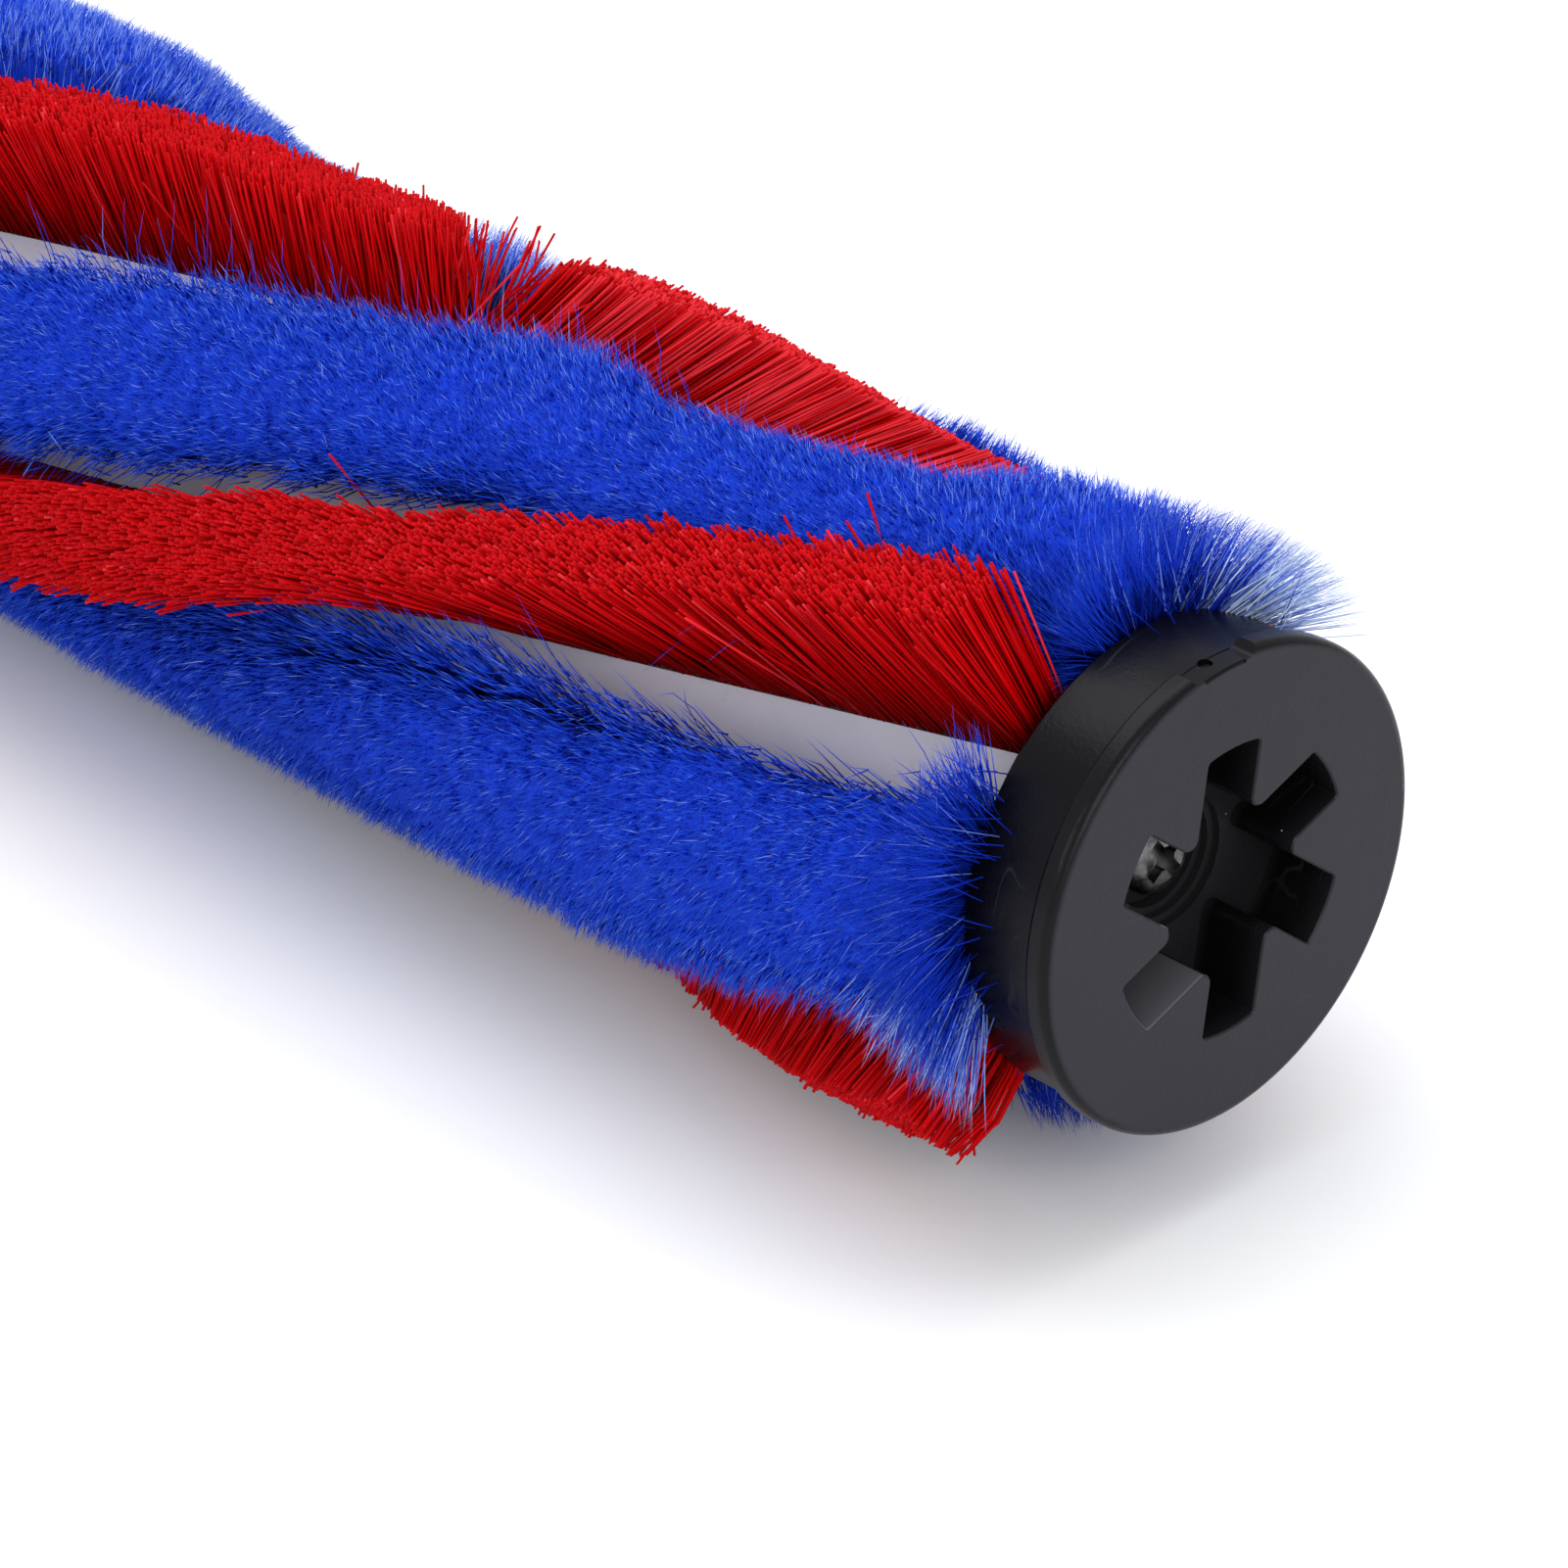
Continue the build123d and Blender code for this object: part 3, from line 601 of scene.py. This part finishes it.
def blue_shape(index, x, s):
    """Lean, half widths before and after the middle (degrees), reach, drop at both edges, shift along the axis."""
    zero = np.zeros_like(x)
    if index == 1:
        near = 1 - ramp(x, 52, 68)
        lean = -5.0 * near
        minus = 19.0 + 23.0 * np.clip((94 - x) / 39, 0, 1) - 5.0 * near + 14.0 * ramp(x, 98.5, 103.2)
        plus = 25.0 + 5.0 * (1 - ramp(x, 80, 91)) + 7.0 * (1 - ramp(x, 66, 78)) + 15.0 * ramp(x, 98.0, 103.6)
        top = 25.15 + zero
        drop_m, drop_p = 1.6 + zero, 1.3 + zero
        dx = ramp(x, 96, 104) * (0.5 + 2.6 * np.maximum(s, 0) ** 2)
    elif index == 2:
        lean = 9.0 * ramp(x, 84, 98)
        minus, plus = 18.0 - 7.0 * ramp(x, 86, 98), 19.0 + zero
        top = 25.1 - 2.7 * ramp(x, 87, 94) + 3.2 * np.exp(-((x - 98.8) / 1.9) ** 2)
        drop_m, drop_p = 1.6 + zero, 1.5 + zero
        dx = 0.3 * ramp(x, 95, 104)
    elif index == 3:
        low = ramp(x, -24, -1) * (1 - ramp(x, 46, 68))
        lean = -18.0 * low - 10.0 * (1 - ramp(x, -24, -1))
        minus, plus = 21.0 - 3.0 * low, 20.0 - 5.0 * low
        top = 26.2 - 4.3 * low
        drop_m, drop_p = 1.0 + zero, 1.5 + zero
        dx = 0.5 * ramp(x, 95, 104)
    else:
        mid = ramp(x, 52, 63) * (1 - ramp(x, 84, 95))
        end = ramp(x, 94, 104)
        lean = 8.0 * mid - 3.0 * end
        minus = 14.0 - mid + 22.0 * end + 3.0 * (1 - ramp(x, 10, 34))
        plus = 24.0 + 8.0 * ramp(x, 92, 101)
        top = 25.0 - 0.5 * mid + 0.4 * end
        drop_m, drop_p = 1.0 + 1.5 * mid + 1.8 * end, 2.0 + 2.0 * end
        dx = ramp(x, 92, 104) * (-0.9 + 5.5 * ramp(-s, -0.1, 0.5) + 1.8 * ramp(-s, 0.4, 0.9))
    dx = dx - 1.6 * ramp(-x, 87, 95)
    return lean, minus, plus, top, drop_m, drop_p, dx


def blue_row(index, phi0):
    rng = np.random.default_rng(300 + index)
    batch = Batch()
    half_root = 3.75

    def place(x, s, wild=0.0, turn=0.0, more=0.0, shift=0.0, flare=1.0):
        n = len(x)
        phi = base_phi(phi0, x)
        ex, et, er = frames(x, phi)
        root = np.stack([x, np.zeros(n), np.zeros(n)], 1) + et * (np.clip(s, -1, 1) * half_root)[:, None] + er * R_ROOT
        lean, minus, plus, top, drop_m, drop_p, dx = blue_shape(index, x, s)
        if flare < 1.0:
            minus, plus, dx = np.minimum(minus, 27.0), np.minimum(plus, 27.0), np.minimum(dx, 0.8)
        lump = noise2(x, s * 8, 2.4, 440 + index)
        ang = lean + s * np.where(s < 0, minus, plus) + 1.0 * noise1(x, 19, 400 + index) \
            + 1.3 * noise2(x, s * 8, 3.1, 450 + index) + turn
        rad = top - np.where(s < 0, drop_m, drop_p) * np.abs(s) ** 2.6 + 0.25 * noise1(x, 21, 460 + index) \
            + 0.26 * lump + more
        dx = dx + 0.5 * noise1(x, 19, 430 + index) + 0.5 * noise2(x, s * 8, 3.4, 470 + index) + shift
        if wild:
            ang = ang + rng.normal(0, 1.6, n) * wild
            rad = rad + rng.normal(0, 0.2, n) * wild
            dx = dx + rng.normal(0, 0.45, n) * wild
        p = np.radians(phi + ang)
        tip = np.stack([x + dx, -rad * np.sin(p), rad * np.cos(p)], 1)
        return root, tip, ex, et, er, lump

    def paleness(x, s):
        """Share of filaments painted pale as lit through: the light shines through the spread ones at the drive end,
        through row 4 before the cap and through much of row 3.
        """
        if index == 4:
            return 0.8 * ramp(x, 97.5, 102.5) * ramp(-s, 0.05, 0.6) + 0.2 * ramp(x, 80, 96) * ramp(-s, -0.6, 0.3) \
                + 0.2 * ramp(x, 84, 96) * ramp(-s, 0.6, 0.95)
        if index == 1:
            return 0.4 * ramp(x, 98.5, 102) * ramp(s, 0.72, 1.0) + 0.04 * ramp(x, 90, 102)
        if index == 3:
            return 0.36 * ramp(x, -90, -15) * (1 - ramp(x, 10, 60)) + 0.1 * ramp(x, 98, 103)
        return 0.1 * ramp(x, 98, 103)

    def pale_shade(x, s):
        """Shade values of the pale ones, painted whitest where they are spread most."""
        most = ramp(x, 98, 102) * ramp(-s, 0.15, 0.55) if index == 4 else np.zeros_like(x)
        return np.where(rng.random(len(x)) < 0.6 * most, rng.uniform(0.965, 1.0, len(x)), rng.uniform(0.94, 0.958, len(x)))

    # the pile: the ends of filaments that stand close together, each tuft a little its own way
    n = 28000
    x = rng.uniform(X_LO + 0.1, X_HI - 0.1, n)
    s = rng.uniform(-1, 1, n)
    root, tip, ex, et, er, lump = place(x, s, 1.0)
    a = 0.28 * noise2(x, s * 8, 1.1, 500 + index) + rng.normal(0, 0.2, n)
    b = 0.28 * noise2(x, s * 8, 1.1, 510 + index) + rng.normal(0, 0.2, n)
    along = unit(unit(tip - root) + ex * a[:, None] + et * b[:, None])
    long = rng.uniform(1.9, 3.0, n) + 4.5 * ramp(x, 96, 103)
    p0 = tip - along * long[:, None]
    start = np.clip(1 - long / 10.4, 0, 1)
    shade = np.clip(0.46 + 0.2 * lump + rng.normal(0, 0.2, n), 0, 0.86)
    # painted shade and light: row 1 is painted darker far from the cap and lighter near it
    if index == 1:
        shade = np.clip(shade - 0.42 * (1 - ramp(x, 36, 64)) + 0.2 * ramp(x, 66, 82), 0, 0.83)
    # painted glints on the tips of a share of the pile, fewer on row 1's far part
    glint = 0.13 - (0.08 * (1 - ramp(x, 36, 64)) if index == 1 else 0.0)
    shade = np.where(rng.random(n) < glint, rng.uniform(0.865, 0.93, n), np.minimum(shade, 0.83))
    shade = np.where(rng.random(n) < 0.012 + paleness(x, s), pale_shade(x, s), shade)
    thick = rng.uniform(0.066, 0.094, n) * (1 - 0.2 * ramp(x, 96, 103))
    batch.filaments(p0, tip, thick, 0.0, np.zeros((n, 3)), 1, False, rng, start, shade)

    # both flanks and both ends: whole filaments, a little wavy
    n = 3600
    m = 800
    x = rng.uniform(X_LO + 0.1, X_HI - 0.1, n)
    x[:m] = X_HI - 0.1 - np.abs(rng.normal(0, 2.0, m))
    x[m:m + 300] = X_LO + 0.1 + np.abs(rng.normal(0, 1.4, 300))
    s = np.sign(rng.uniform(-1, 1, n)) * (1.03 - 0.2 * rng.random(n) ** 1.5)
    s[:m + 300] = rng.uniform(-1.05, 1.05, m + 300)
    root, tip, ex, et, er, lump = place(x, s, 1.6, more=-0.2)
    bend = et * (np.sign(s) * rng.normal(0.25, 0.3, n))[:, None] + ex * rng.normal(0, 0.35, (n, 1))
    shade = np.clip(0.5 + 0.2 * lump + rng.normal(0, 0.22, n), 0, 0.92)
    shade = np.where(rng.random(n) < 0.03 + paleness(x, s), pale_shade(x, s), shade)
    batch.filaments(root, tip, rng.uniform(0.07, 0.1, n), 0.035, bend, 2, False, rng, 0.0, shade)

    if index == 4:
        # beside the cap some lie low towards the next red row, with darker shade values as painted shade
        n = 520
        x = rng.uniform(96.5, X_HI - 0.1, n)
        s = rng.uniform(0.6, 1.02, n)
        ang = rng.uniform(18, 43, n)
        rad = 24.0 - 0.30 * (ang - 15) + rng.normal(0, 0.5, n)
        p = np.radians(base_phi(phi0, x) + ang)
        root, _, ex, et, er, lump = place(x, s)
        tip = np.stack([x + rng.uniform(-1.6, 0.0, n), -rad * np.sin(p), rad * np.cos(p)], 1)
        bend = et * rng.normal(0.3, 0.4, (n, 1)) + ex * rng.normal(0, 0.5, (n, 1))
        batch.filaments(root, tip, rng.uniform(0.06, 0.09, n), 0.035, bend, 2, False, rng, 0.0, rng.uniform(0.05, 0.8, n))
    if index == 3:
        # a tuft that shows through the parting of the red row beside it
        n = 700
        x = np.clip(rng.normal(22.3, 2.3, n), 15.5, 29)
        s = rng.uniform(-0.2, 1.02, n)
        ang = -6.0 + 23.0 * s + rng.normal(0, 2.0, n)
        rad = 22.6 - 0.06 * (x - 22.3) ** 2 + rng.normal(0, 0.45, n)
        p = np.radians(base_phi(phi0, x) + ang)
        root, _, ex, et, er, lump = place(x, s)
        tip = np.stack([x + rng.normal(0, 0.6, n), -rad * np.sin(p), rad * np.cos(p)], 1)
        bend = et * rng.normal(0.2, 0.3, (n, 1)) + ex * rng.normal(0, 0.3, (n, 1))
        # painted light: half are painted pale, as lit through
        shade = np.where(rng.random(n) < 0.5, rng.uniform(0.94, 0.958, n), rng.uniform(0.4, 0.92, n))
        batch.filaments(root, tip, rng.uniform(0.06, 0.09, n), 0.035, bend, 2, False, rng, 0.0, shade)
    if index == 1:
        # the tuft that hangs down beside the cap
        n = 240
        x = rng.uniform(98.4, X_HI - 0.2, n)
        s = rng.uniform(0.7, 1.05, n)
        root, tip, ex, et, er, lump = place(x, s, 1.8, rng.uniform(0, 6, n), rng.uniform(-0.4, 0.9, n))
        bend = et * rng.normal(0.2, 0.6, (n, 1)) + ex * rng.normal(0, 0.6, (n, 1))
        wave = (et * rng.normal(0, 0.2, (n, 1)) + ex * rng.normal(0, 0.3, (n, 1)), np.zeros((n, 3)))
        # painted light: most are painted pale, as lit through
        shade = np.where(rng.random(n) < 0.65, rng.uniform(0.94, 0.98, n), rng.uniform(0.3, 0.92, n))
        batch.filaments(root, tip, 0.072, 0.045, bend, 4, False, rng, 0.0, shade, wave)

    # single hairs that stand out or cross, most of them along the two edges
    n = 640
    x = rng.uniform(X_LO + 0.5, X_HI - 0.5, n)
    s = rng.uniform(-1.0, 1.0, n)
    edge = rng.random(n) < 0.82
    s = np.where(edge, np.sign(s) * rng.uniform(0.8, 1.0, n), s)
    turn = np.where(edge, np.sign(s) * np.abs(rng.normal(0, 4.0 if index == 1 else 7.0, n)), 0.0)
    shift = np.where(s < 0, -2.2 if index == 1 else -0.8, 0.0) * np.abs(rng.normal(0, 1.5, n))
    root, tip, ex, et, er, lump = place(x, s, 1.8, turn, np.where(edge, -0.1, 0.45) * np.abs(rng.normal(0, 1.0, n)), shift)
    bend = et * rng.normal(0, 0.6, (n, 1)) + ex * rng.normal(0, 0.7, (n, 1))
    wave = (et * rng.normal(0, 0.25, (n, 1)) + ex * rng.normal(0, 0.25, (n, 1)),
            et * rng.normal(0, 0.12, (n, 1)) + ex * rng.normal(0, 0.12, (n, 1)))
    batch.filaments(root, tip, 0.055, 0.036, bend, 4, False, rng, 0.0, rng.uniform(0.35, 0.975, n), wave)

    body_of(batch, lambda xs, ss: place(xs, ss, flare=0.0)[:2],
            lambda xs, ss: 1.5 + 2.6 * ramp(xs, 96, 103.5) + 0.6 * np.abs(ss) ** 4, half_root, 0.93)
    ob = batch.build(f"blue_filaments_{index}", [blue_fil.m, blue_bulk.m])
    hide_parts(f"blue_bristle_row_{index}")
    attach(ob, "roller")
    return ob


added = []
for i, a in enumerate(RED_PHI):
    added.append(red_row(i + 1, a))
for i, a in enumerate(BLUE_PHI):
    added.append(blue_row(i + 1, a))
print("added triangles", {o.name: len(o.data.polygons) for o in added}, sum(len(o.data.polygons) for o in added))


# ---------------------------------------------------------------------------
# materials of the CAD nodes
# ---------------------------------------------------------------------------
def moulded_black(name, grain, drive):
    """Black moulding. On the drive cap the face is matt and painted lighter as painted light, the flange is painted
    lighter as a painted highlight, and the socket has painted shade with one arm painted lit.
    """
    m = Mat(name)
    v = m.coords()
    cloud = m.noise(v, 60, 4, 0.6)
    fine = m.noise(v, 3200, 3, 0.6)
    flow = m.noise(m.coords((0.25, 1, 1)), 420, 4, 0.6, 0.6)
    if drive:
        col = m.ramp(cloud, [(0.3, (0.0011, 0.0011, 0.0022)), (0.7, (0.0017, 0.0017, 0.0032))])
        place = m.node("ShaderNodeSeparateXYZ")
        m.link(v, place.inputs[0])
        x = place.outputs["X"]
        rad = m.math("SQRT", m.math("ADD", m.math("POWER", place.outputs["Y"], 2.0), m.math("POWER", place.outputs["Z"], 2.0)))
        rim = m.math("MULTIPLY", m.math("SUBTRACT", rad, 0.0182), 6000.0, True)
        inside = m.math("MULTIPLY", m.math("SUBTRACT", 0.0122, rad), 9000.0, True)
        face_matt_and_painted_light = m.math("MULTIPLY", m.math("SUBTRACT", x, 0.11288), 9000.0, True)
        # painted highlight: the flange is painted lighter than the wall
        col = m.mix(rim, col, m.ramp(cloud, [(0.3, (0.0026, 0.0026, 0.0036)), (0.7, (0.0036, 0.0036, 0.0050))]))
        # painted shade: the socket is painted darker deep inside and lighter at the mouth, and one arm is painted
        # lighter as painted light
        deep = m.math("MULTIPLY", m.math("SUBTRACT", x, 0.1065), 154.0, True)
        socket_painted_shade = m.ramp(deep, [(0.0, (0.0150, 0.0150, 0.0165)), (0.10, (0.0110, 0.0110, 0.0125)), (0.22, (0.0030, 0.0030, 0.0036)),
                             (0.65, (0.0040, 0.0040, 0.0048)), (1.0, (0.0100, 0.0100, 0.0115))])
        # painted light: one arm's wall is painted lighter, brightest at the mouth
        arm_painted_light = m.ramp(deep, [(0.0, (0.032, 0.032, 0.036)), (0.5, (0.066, 0.065, 0.073)), (1.0, (0.098, 0.096, 0.107))])
        u = m.math("ADD", m.math("MULTIPLY", place.outputs["Y"], -0.857), m.math("MULTIPLY", place.outputs["Z"], -0.515))
        w = m.math("ADD", m.math("MULTIPLY", place.outputs["Y"], 0.515), m.math("MULTIPLY", place.outputs["Z"], -0.857))
        arm = m.math("MULTIPLY", m.math("MULTIPLY", m.math("SUBTRACT", u, 0.0050), 4000.0, True),
                     m.math("MULTIPLY", m.math("SUBTRACT", 0.0038, m.math("ABSOLUTE", w)), 8000.0, True))
        well = m.mix(arm, socket_painted_shade, arm_painted_light)
        well = m.mix(1.0, well, m.grey(cloud, [(0.3, 0.85), (0.7, 1.0)]), "MULTIPLY")
        col = m.mix(inside, col, well)
        # painted light: the face is painted lighter than the wall, as if lit from the front; its roughness is also matt
        col = m.mix(face_matt_and_painted_light, col, m.ramp(cloud, [(0.3, (0.0168, 0.0165, 0.0222)), (0.7, (0.0198, 0.0195, 0.0260))]))
    else:
        col = m.ramp(cloud, [(0.3, (0.006, 0.006, 0.0075)), (0.7, (0.009, 0.009, 0.011))])
    # hairline scuffs
    wav = m.node("ShaderNodeTexNoise")
    wav.inputs["Scale"].default_value = 160
    wav.inputs["Detail"].default_value = 2
    m.link(m.coords((1, 0.05, 0.5)), wav.inputs["Vector"])
    line = m.grey(m.math("ABSOLUTE", m.math("SUBTRACT", wav.outputs["Fac"], 0.5)), [(0.0, 1.0), (0.006, 0.0), (1.0, 0.0)])
    where = m.grey(m.noise(v, 95, 2, 0.5), [(0.56, 0.0), (0.68, 1.0)])
    scuff = m.math("MULTIPLY", line, where)
    col = m.mix(m.math("MULTIPLY", scuff, 0.05), col, (0.35, 0.35, 0.37))
    # specks of dust
    vo = m.voronoi(v, 420)
    dot = m.grey(vo.outputs["Distance"], [(0.0, 1.0), (0.022, 1.0), (0.038, 0.0), (1.0, 0.0)])
    sep = m.node("ShaderNodeSeparateColor")
    m.link(vo.outputs["Color"], sep.inputs[0])
    some = m.grey(sep.outputs[0], [(0.0, 0.0), (0.80, 0.0), (0.82, 1.0), (1.0, 1.0)])
    col = m.mix(m.math("MULTIPLY", m.math("MULTIPLY", dot, some), 0.5), col, (0.5, 0.5, 0.53))
    rough = m.math("ADD", m.grey(cloud, [(0.3, 0.20), (0.7, 0.26)]), m.math("MULTIPLY", flow, 0.06))
    if drive:
        rough = m.math("ADD", rough, m.math("MULTIPLY", face_matt_and_painted_light, 0.12))
    rough = m.math("ADD", rough, m.math("MULTIPLY", scuff, 0.2), True)
    nrm = m.bump(fine, grain, 0.00012)
    nrm = m.bump(flow, 0.06, 0.0004, nrm)
    m.set(color=col, rough=rough, normal=nrm, spec=0.13, ior=1.5)
    return m


def moulded_grey():
    m = Mat("core_semi_gloss")
    v = m.coords()
    cloud = m.noise(v, 45, 4, 0.6)
    warm = m.noise(v, 22, 2, 0.5)
    fine = m.noise(v, 2600, 3, 0.6)
    col = m.ramp(cloud, [(0.3, (0.38, 0.37, 0.435)), (0.7, (0.45, 0.44, 0.505))])
    col = m.mix(m.grey(warm, [(0.5, 0.0), (0.72, 0.5)]), col, (0.47, 0.415, 0.42))
    dust = m.grey(m.noise(v, 900, 3, 0.7), [(0.60, 0.0), (0.72, 1.0)])
    col = m.mix(m.math("MULTIPLY", dust, 0.12), col, (0.22, 0.21, 0.25))
    m.set(color=col, rough=m.grey(cloud, [(0.3, 0.26), (0.7, 0.38)]), normal=m.bump(fine, 0.12, 0.0001), spec=0.5)
    return m


def matte_moulding(name, dark, light, scale=70):
    m = Mat(name)
    v = m.coords()
    cloud = m.noise(v, scale, 4, 0.6)
    fine = m.noise(v, 2800, 3, 0.6)
    m.set(color=m.ramp(cloud, [(0.3, dark), (0.7, light)]), rough=m.grey(cloud, [(0.3, 0.5), (0.7, 0.66)]),
          normal=m.bump(fine, 0.25, 0.00012), spec=0.45)
    return m


def turned_metal(name, dark, light, lo, hi, lines=0.12):
    """Metal with fine marks that run round the axis."""
    m = Mat(name)
    v = m.coords()
    sep = m.node("ShaderNodeSeparateXYZ")
    m.link(v, sep.inputs[0])
    rad = m.math("SQRT", m.math("ADD", m.math("POWER", sep.outputs["Y"], 2.0), m.math("POWER", sep.outputs["Z"], 2.0)))
    comb = m.node("ShaderNodeCombineXYZ")
    m.link(sep.outputs["X"], comb.inputs[0])
    m.link(rad, comb.inputs[1])
    ring = m.noise(comb.outputs[0], 5200, 3, 0.7)
    stain = m.noise(v, 420, 4, 0.6)
    m.set(color=m.ramp(stain, [(0.32, dark), (0.68, light)]), metal=1.0,
          rough=m.math("ADD", m.grey(stain, [(0.3, lo), (0.7, hi)]), m.math("MULTIPLY", ring, 0.08)),
          normal=m.bump(ring, lines, 0.00005))
    return m


black_cap = moulded_black("cap_black_moulding", 0.16, True)
black_idler = moulded_black("idler_black_moulding", 0.16, False)
holder = moulded_black("holder_black_moulding", 0.35, False)
core = moulded_grey()
rail = matte_moulding("rail_moulding", (0.2, 0.2, 0.215), (0.32, 0.32, 0.34))
zinc = turned_metal("screw_zinc", (0.02, 0.02, 0.022), (0.30, 0.292, 0.285), 0.22, 0.36)
race = turned_metal("bearing_race", (0.5, 0.5, 0.51), (0.7, 0.7, 0.71), 0.14, 0.26)
ball = turned_metal("bearing_ball", (0.62, 0.62, 0.63), (0.78, 0.78, 0.79), 0.06, 0.14, 0.02)
shield = turned_metal("bearing_shield", (0.44, 0.44, 0.45), (0.62, 0.62, 0.62), 0.26, 0.42, 0.2)
cage = matte_moulding("cage_moulding", (0.42, 0.37, 0.27), (0.56, 0.5, 0.39), 300)
axle = turned_metal("axle_steel", (0.42, 0.42, 0.43), (0.6, 0.6, 0.61), 0.22, 0.36, 0.22)
clip = turned_metal("clip_black_oxide", (0.05, 0.05, 0.055), (0.13, 0.13, 0.14), 0.32, 0.5, 0.1)

paint("drive_end_cap", black_cap)
paint("idler_end_cap", black_idler)
paint("end_holder", holder)
paint("core_tube", core)
for i in range(1, 5):
    paint(f"red_rail_{i}", rail)
    paint(f"blue_rail_{i}", rail)
paint("drive_cap_screw", zinc)
paint("bearing_outer_ring", race)
paint("bearing_inner_ring", race)
paint("bearing_balls", ball)
paint("bearing_shield_inner", shield)
paint("bearing_shield_outer", shield)
paint("bearing_cage", cage)
paint("stub_axle", axle)
paint("axle_clip", clip)

# ---------------------------------------------------------------------------
# floor, light, camera
# ---------------------------------------------------------------------------
floor_mesh = bpy.data.meshes.new("floor")
k, side = 40, 3.0
g = np.linspace(-side, side, k + 1)
gx, gy = np.meshgrid(g, g, indexing="ij")
pts = np.stack([gx.ravel(), gy.ravel(), np.full(gx.size, -0.0262)], 1)
quads = [(i * (k + 1) + j, (i + 1) * (k + 1) + j, (i + 1) * (k + 1) + j + 1, i * (k + 1) + j + 1)
         for i in range(k) for j in range(k)]
floor_mesh.from_pydata(pts.tolist(), [], quads)
floor = bpy.data.objects.new("floor", floor_mesh)
scene.collection.objects.link(floor)
fm = Mat("floor_paper")
fv = fm.coords()
fm.set(color=fm.ramp(fm.noise(fv, 6, 3, 0.5), [(0.3, (0.86, 0.865, 0.875)), (0.7, (0.89, 0.893, 0.90))]),
       rough=0.75, spec=0.2, normal=fm.bump(fm.noise(fv, 900, 3, 0.6), 0.05, 0.0003))
floor_mesh.materials.append(fm.m)

world = bpy.data.worlds.new("studio")
scene.world = world
world.use_nodes = True
bg = world.node_tree.nodes["Background"]
bg.inputs["Color"].default_value = (0.97, 0.98, 1.0, 1.0)
bg.inputs["Strength"].default_value = 0.85


def area(name, at, to, size, watts, colour=(1, 1, 1)):
    d = bpy.data.lights.new(name, "AREA")
    d.shape = "RECTANGLE"
    d.size, d.size_y = size
    d.energy = watts
    d.color = colour
    o = bpy.data.objects.new(name, d)
    o.location = at
    o.rotation_mode = "QUATERNION"
    o.rotation_quaternion = (Vector(to) - Vector(at)).to_track_quat("-Z", "Y")
    scene.collection.objects.link(o)
    return o


area("key", (-0.10, 0.12, 0.75), (0.0, 0, 0), (1.1, 0.58), 4.4)
area("front", (0.80, -0.30, 0.38), (0.04, 0, 0), (0.6, 0.5), 3.0)
area("left", (-0.08, -0.85, 0.45), (0, 0, 0), (0.5, 0.4), 1.5)

cam_data = bpy.data.cameras.new("camera")
cam_data.sensor_width = 36.0
cam_data.lens = 128.957
cam_data.clip_start, cam_data.clip_end = 0.01, 20.0
cam = bpy.data.objects.new("camera", cam_data)
right = Vector((0.6863995, 0.72722468, 0.0))
up = Vector((-0.34612408, 0.32669325, 0.87947123))
back = Vector((0.63957318, -0.60366861, 0.47595205))
m4 = Matrix((right, up, back)).transposed().to_4x4()
m4.translation = Vector((0.34015, -0.25749, 0.19356))
cam.matrix_world = m4
scene.collection.objects.link(cam)
scene.camera = cam

scene.cycles.max_bounces = 6
scene.cycles.diffuse_bounces = 3
scene.cycles.glossy_bounces = 2
scene.cycles.transmission_bounces = 2

scene.view_settings.view_transform = "Standard"
scene.view_settings.look = "None"
scene.view_settings.exposure = 0.0
